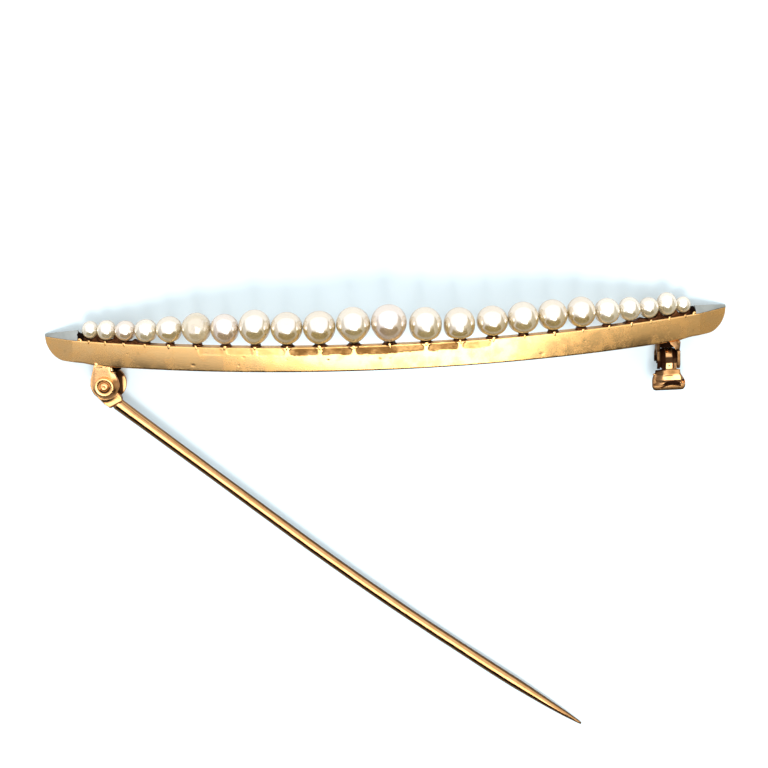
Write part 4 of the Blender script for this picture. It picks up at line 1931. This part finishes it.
@dataclass
class Studio(Fitting):
    """Camera, light and floor: a white table under one broad panel.

    Attributes:
        distance: From the camera to its target.
        tilt_deg: How far the camera leans from the brooch's Z towards the pearls.
        yaw_deg: How far it leans along X.
        roll_deg: Its roll.
        focal: Focal length in pixels of a frame that is frame_size wide.
        frame_size: Width of the photograph.
        sensor: Width of the sensor.
        target: What it looks at, in the brooch's frame.
        windows: What the metal and the pearls mirror in the tent: a panel, the dark room and a lamp.
        pale: Colour of the tent as the camera sees it.
    """

    distance: float = 159.99
    tilt_deg: float = 16.743
    yaw_deg: float = -0.861
    roll_deg: float = -2.252
    focal: float = 2048.92
    frame_size: float = 768.0
    sensor: float = 36.0
    target: Triple = (-0.465, -2.240, 0.0)
    windows: tuple[Window, ...] = (
        Window(-40.0, -2.5, (2.0, 1.35), 0.12, (1.55, 1.6, 1.72, 1.0)),
        Window(53.0, 0.0, (1.25, 0.49), 0.05, (0.012, 0.012, 0.013, 1.0)),
        Window(5.5, 6.0, (0.42, 0.39), 0.035, (4.6, 4.6, 4.5, 1.0), 18.0),
    )
    pale: Colour = (0.86, 0.88, 0.9, 1.0)

    def camera(self) -> None:
        """Makes the camera from its distance, tilt, yaw and roll about the brooch."""
        tilt, yaw, roll = (math.radians(a) for a in (self.tilt_deg, self.yaw_deg, self.roll_deg))
        towards = np.array([math.sin(yaw) * math.cos(tilt), math.sin(tilt), math.cos(tilt) * math.cos(yaw)])
        right = np.cross([0.0, 1.0, 0.0], towards)
        right = right / np.linalg.norm(right)
        up = np.cross(towards, right)
        rolled = right * math.cos(roll) + up * math.sin(roll)
        upward = up * math.cos(roll) - right * math.sin(roll)
        place = self.stance.stand(np.array(self.target) + self.distance * towards)
        data = bpy.data.cameras.new("camera")
        data.sensor_width = self.sensor
        data.lens = self.focal * self.sensor / self.frame_size
        data.clip_start, data.clip_end = 0.005, 20.0
        thing = put_in_scene("camera", data)
        axes = np.stack([self.stance.turn(v) for v in (rolled, upward, towards)], 1)
        rows = [[*row, p] for row, p in zip(axes.tolist(), place.tolist())]
        thing.matrix_world = Matrix(rows + [[0.0, 0.0, 0.0, 1.0]])
        bpy.context.scene.camera = thing

    def sky(self) -> None:
        """Lights the world: soft for the metal's body, and a pale tent with windows for what it mirrors."""
        world = bpy.data.worlds.new("tent")
        bpy.context.scene.world = world
        world.use_nodes = True
        graph = Graph(world.node_tree)
        look = graph.add("ShaderNodeTexCoord").outputs["Generated"]
        x, y, _ = graph.add("ShaderNodeSeparateXYZ", {0: look}).outputs
        level = graph.remap(y, -0.36, -0.1, 0.72, 0.95)
        sides = graph.remap(graph.math("ABSOLUTE", x), 0.62, 0.98, 1.0, 0.6)
        for share in (sides, graph.remap(x, -0.6, 0.6, 1.12, 0.86), graph.remap(y, -0.95, -0.6, 0.3, 1.0)):
            level = graph.math("MULTIPLY", level, share)
        grey = graph.add("ShaderNodeCombineColor", {0: level, 1: level, 2: level}).outputs[0]
        warmth = graph.remap(x, -0.5, 0.6, 0.0, 1.0)
        tint = graph.blend(warmth, (1.0, 1.03, 1.12, 1.0), (1.0, 0.97, 0.87, 1.0))
        tent = graph.blend(1.0, grey, tint, "MULTIPLY")
        for window in self.windows:
            tent = graph.blend(window.mask(graph, look), tent, window.colour)
        paths = graph.add("ShaderNodeLightPath").outputs
        soft = {0: graph.remap(y, -1.0, 0.8, 0.7, 1.4), 1: (1.0, 1.05, 1.08)}
        soft = graph.add("ShaderNodeVectorMath", soft, operation="MULTIPLY").outputs[0]
        colour = graph.blend(paths["Is Glossy Ray"], soft, tent)
        colour = graph.blend(paths["Is Camera Ray"], colour, self.pale)
        shine = graph.add("ShaderNodeBackground", {"Color": colour, "Strength": 1.0})
        graph.add("ShaderNodeOutputWorld", {"Surface": shine.outputs[0]})

    def lamp(self, name: str, place: Triple, size: float, power: float) -> None:
        """Adds a soft square lamp that isn't mirrored in the metal and looks at the brooch.

        Args:
            name: Its name.
            place: Where it is, in metres.
            size: Its side, in metres.
            power: Its power in watts.
        """
        data = bpy.data.lights.new(name, "AREA")
        data.shape, data.size, data.energy = "SQUARE", size, power
        thing = put_in_scene(name, data)
        thing.location = place
        away = Vector(place) - Vector((0.0, 0.005, 0.0))
        thing.rotation_euler = away.to_track_quat("Z", "Y").to_euler()
        thing.visible_glossy = False

    def floor(self) -> None:
        """Lays the white floor under the brooch."""
        side = np.linspace(-1.5, 1.5, 5)
        x, y = np.meshgrid(side, side, indexing="ij")
        points = np.stack([x, y, np.zeros_like(x)], -1).reshape(-1, 3)
        first = (np.arange(4)[:, None] * 5 + np.arange(4)).reshape(-1)
        mesh = bpy.data.meshes.new("floor")
        mesh.from_pydata(points.tolist(), [], np.stack([first, first + 5, first + 6, first + 1], -1).tolist())
        mesh.materials.append(BrightPaper().material())
        thing = put_in_scene("floor", mesh)

    def build(self) -> None:
        """Makes camera, sky, lamp and floor, and shows colours as they are."""
        self.camera()
        self.sky()
        self.lamp("key", (0.01, -0.12, 0.52), 0.17, 1.5)
        self.floor()
        view = bpy.context.scene.view_settings
        view.view_transform, view.look, view.exposure, view.gamma = "Standard", "None", 0.0, 1.0


def finishes() -> dict[str, Material]:
    """Makes the metals' finishes.

    Returns:
        Each material by its name.
    """
    dull, black = (0.03, 0.01, 0.003, 1.0), (0.018, 0.005, 0.0015, 1.0)
    metals = (
        Metal(
            "bar_gold", (0.95, 0.57, 0.225, 1.0), (0.93, 0.51, 0.17, 1.0),
            rough=0.17, bump=0.003, marked=True,
        ),
        Metal("ear_gold", (0.84, 0.46, 0.20, 1.0), (0.8, 0.42, 0.18, 1.0), dull, rough=0.2, marked=True),
        Metal("pale_gold", (0.78, 0.46, 0.19, 1.0), (0.72, 0.38, 0.15, 1.0), dull, rough=0.2, marked=True),
        Metal("soot", (0.008, 0.003, 0.0015, 1.0), (0.002, 0.001, 0.0005, 1.0), rough=0.5),
        Metal(
            "cup_gold", (0.13, 0.048, 0.018, 1.0), (0.018, 0.005, 0.002, 1.0), (0.006, 0.002, 0.001, 1.0),
            rough=0.4, cloud=0.5, marked=True,
        ),
        Metal("solder", (0.93, 0.68, 0.36, 1.0), (0.9, 0.6, 0.28, 1.0), rough=0.14, cloud=0.4),
        Metal(
            "worn_rose_gold", (0.66, 0.37, 0.17, 1.0), (0.58, 0.30, 0.12, 1.0), black,
            rough=0.14, cloud=0.7, marked=True,
        ),
        Metal(
            "rose_gold_polish", (0.56, 0.30, 0.125, 1.0), (0.50, 0.25, 0.09, 1.0),
            rough=0.1, rough_more=0.08, heading_deg=41.4, marked=True,
        ),
        Metal(
            "platinum_satin", (0.365, 0.375, 0.34, 1.0), (0.30, 0.31, 0.28, 1.0), (0.1, 0.1, 0.1, 1.0),
            rough=0.3, speck_share=0.1,
        ),
    )
    grain = surface_grain()
    return {metal.name: metal.material(grain) for metal in metals}


def main() -> None:
    """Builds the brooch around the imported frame, piece by piece, and its studio."""
    logging.basicConfig(level=logging.INFO, format="%(message)s")
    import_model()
    Studio().build()
    finish = finishes()
    bar_gold, ear_gold, pale_gold = finish["bar_gold"], finish["ear_gold"], finish["pale_gold"]
    soot, worn_rose = finish["soot"], finish["worn_rose_gold"]
    row, ears = PearlRow(), HingeEars()
    level = ears.pin_level()
    BarWall().build(row.places(), bar_gold)
    PearlSeats(row=row).build(finish["cup_gold"], bar_gold)
    row.build()
    TipCaps().build(finish["platinum_satin"])
    ears.build(ear_gold, finish["solder"], soot)
    HingeRivet().build(ears.near_top(), 2 * ears.thick + ears.gap, ear_gold, pale_gold)
    PinStem().build(level, finish["rose_gold_polish"])
    CatchCheeks().build(level, worn_rose, soot)
    CatchCollar().build(level, worn_rose, pale_gold)


if __name__ == "__main__":
    main()
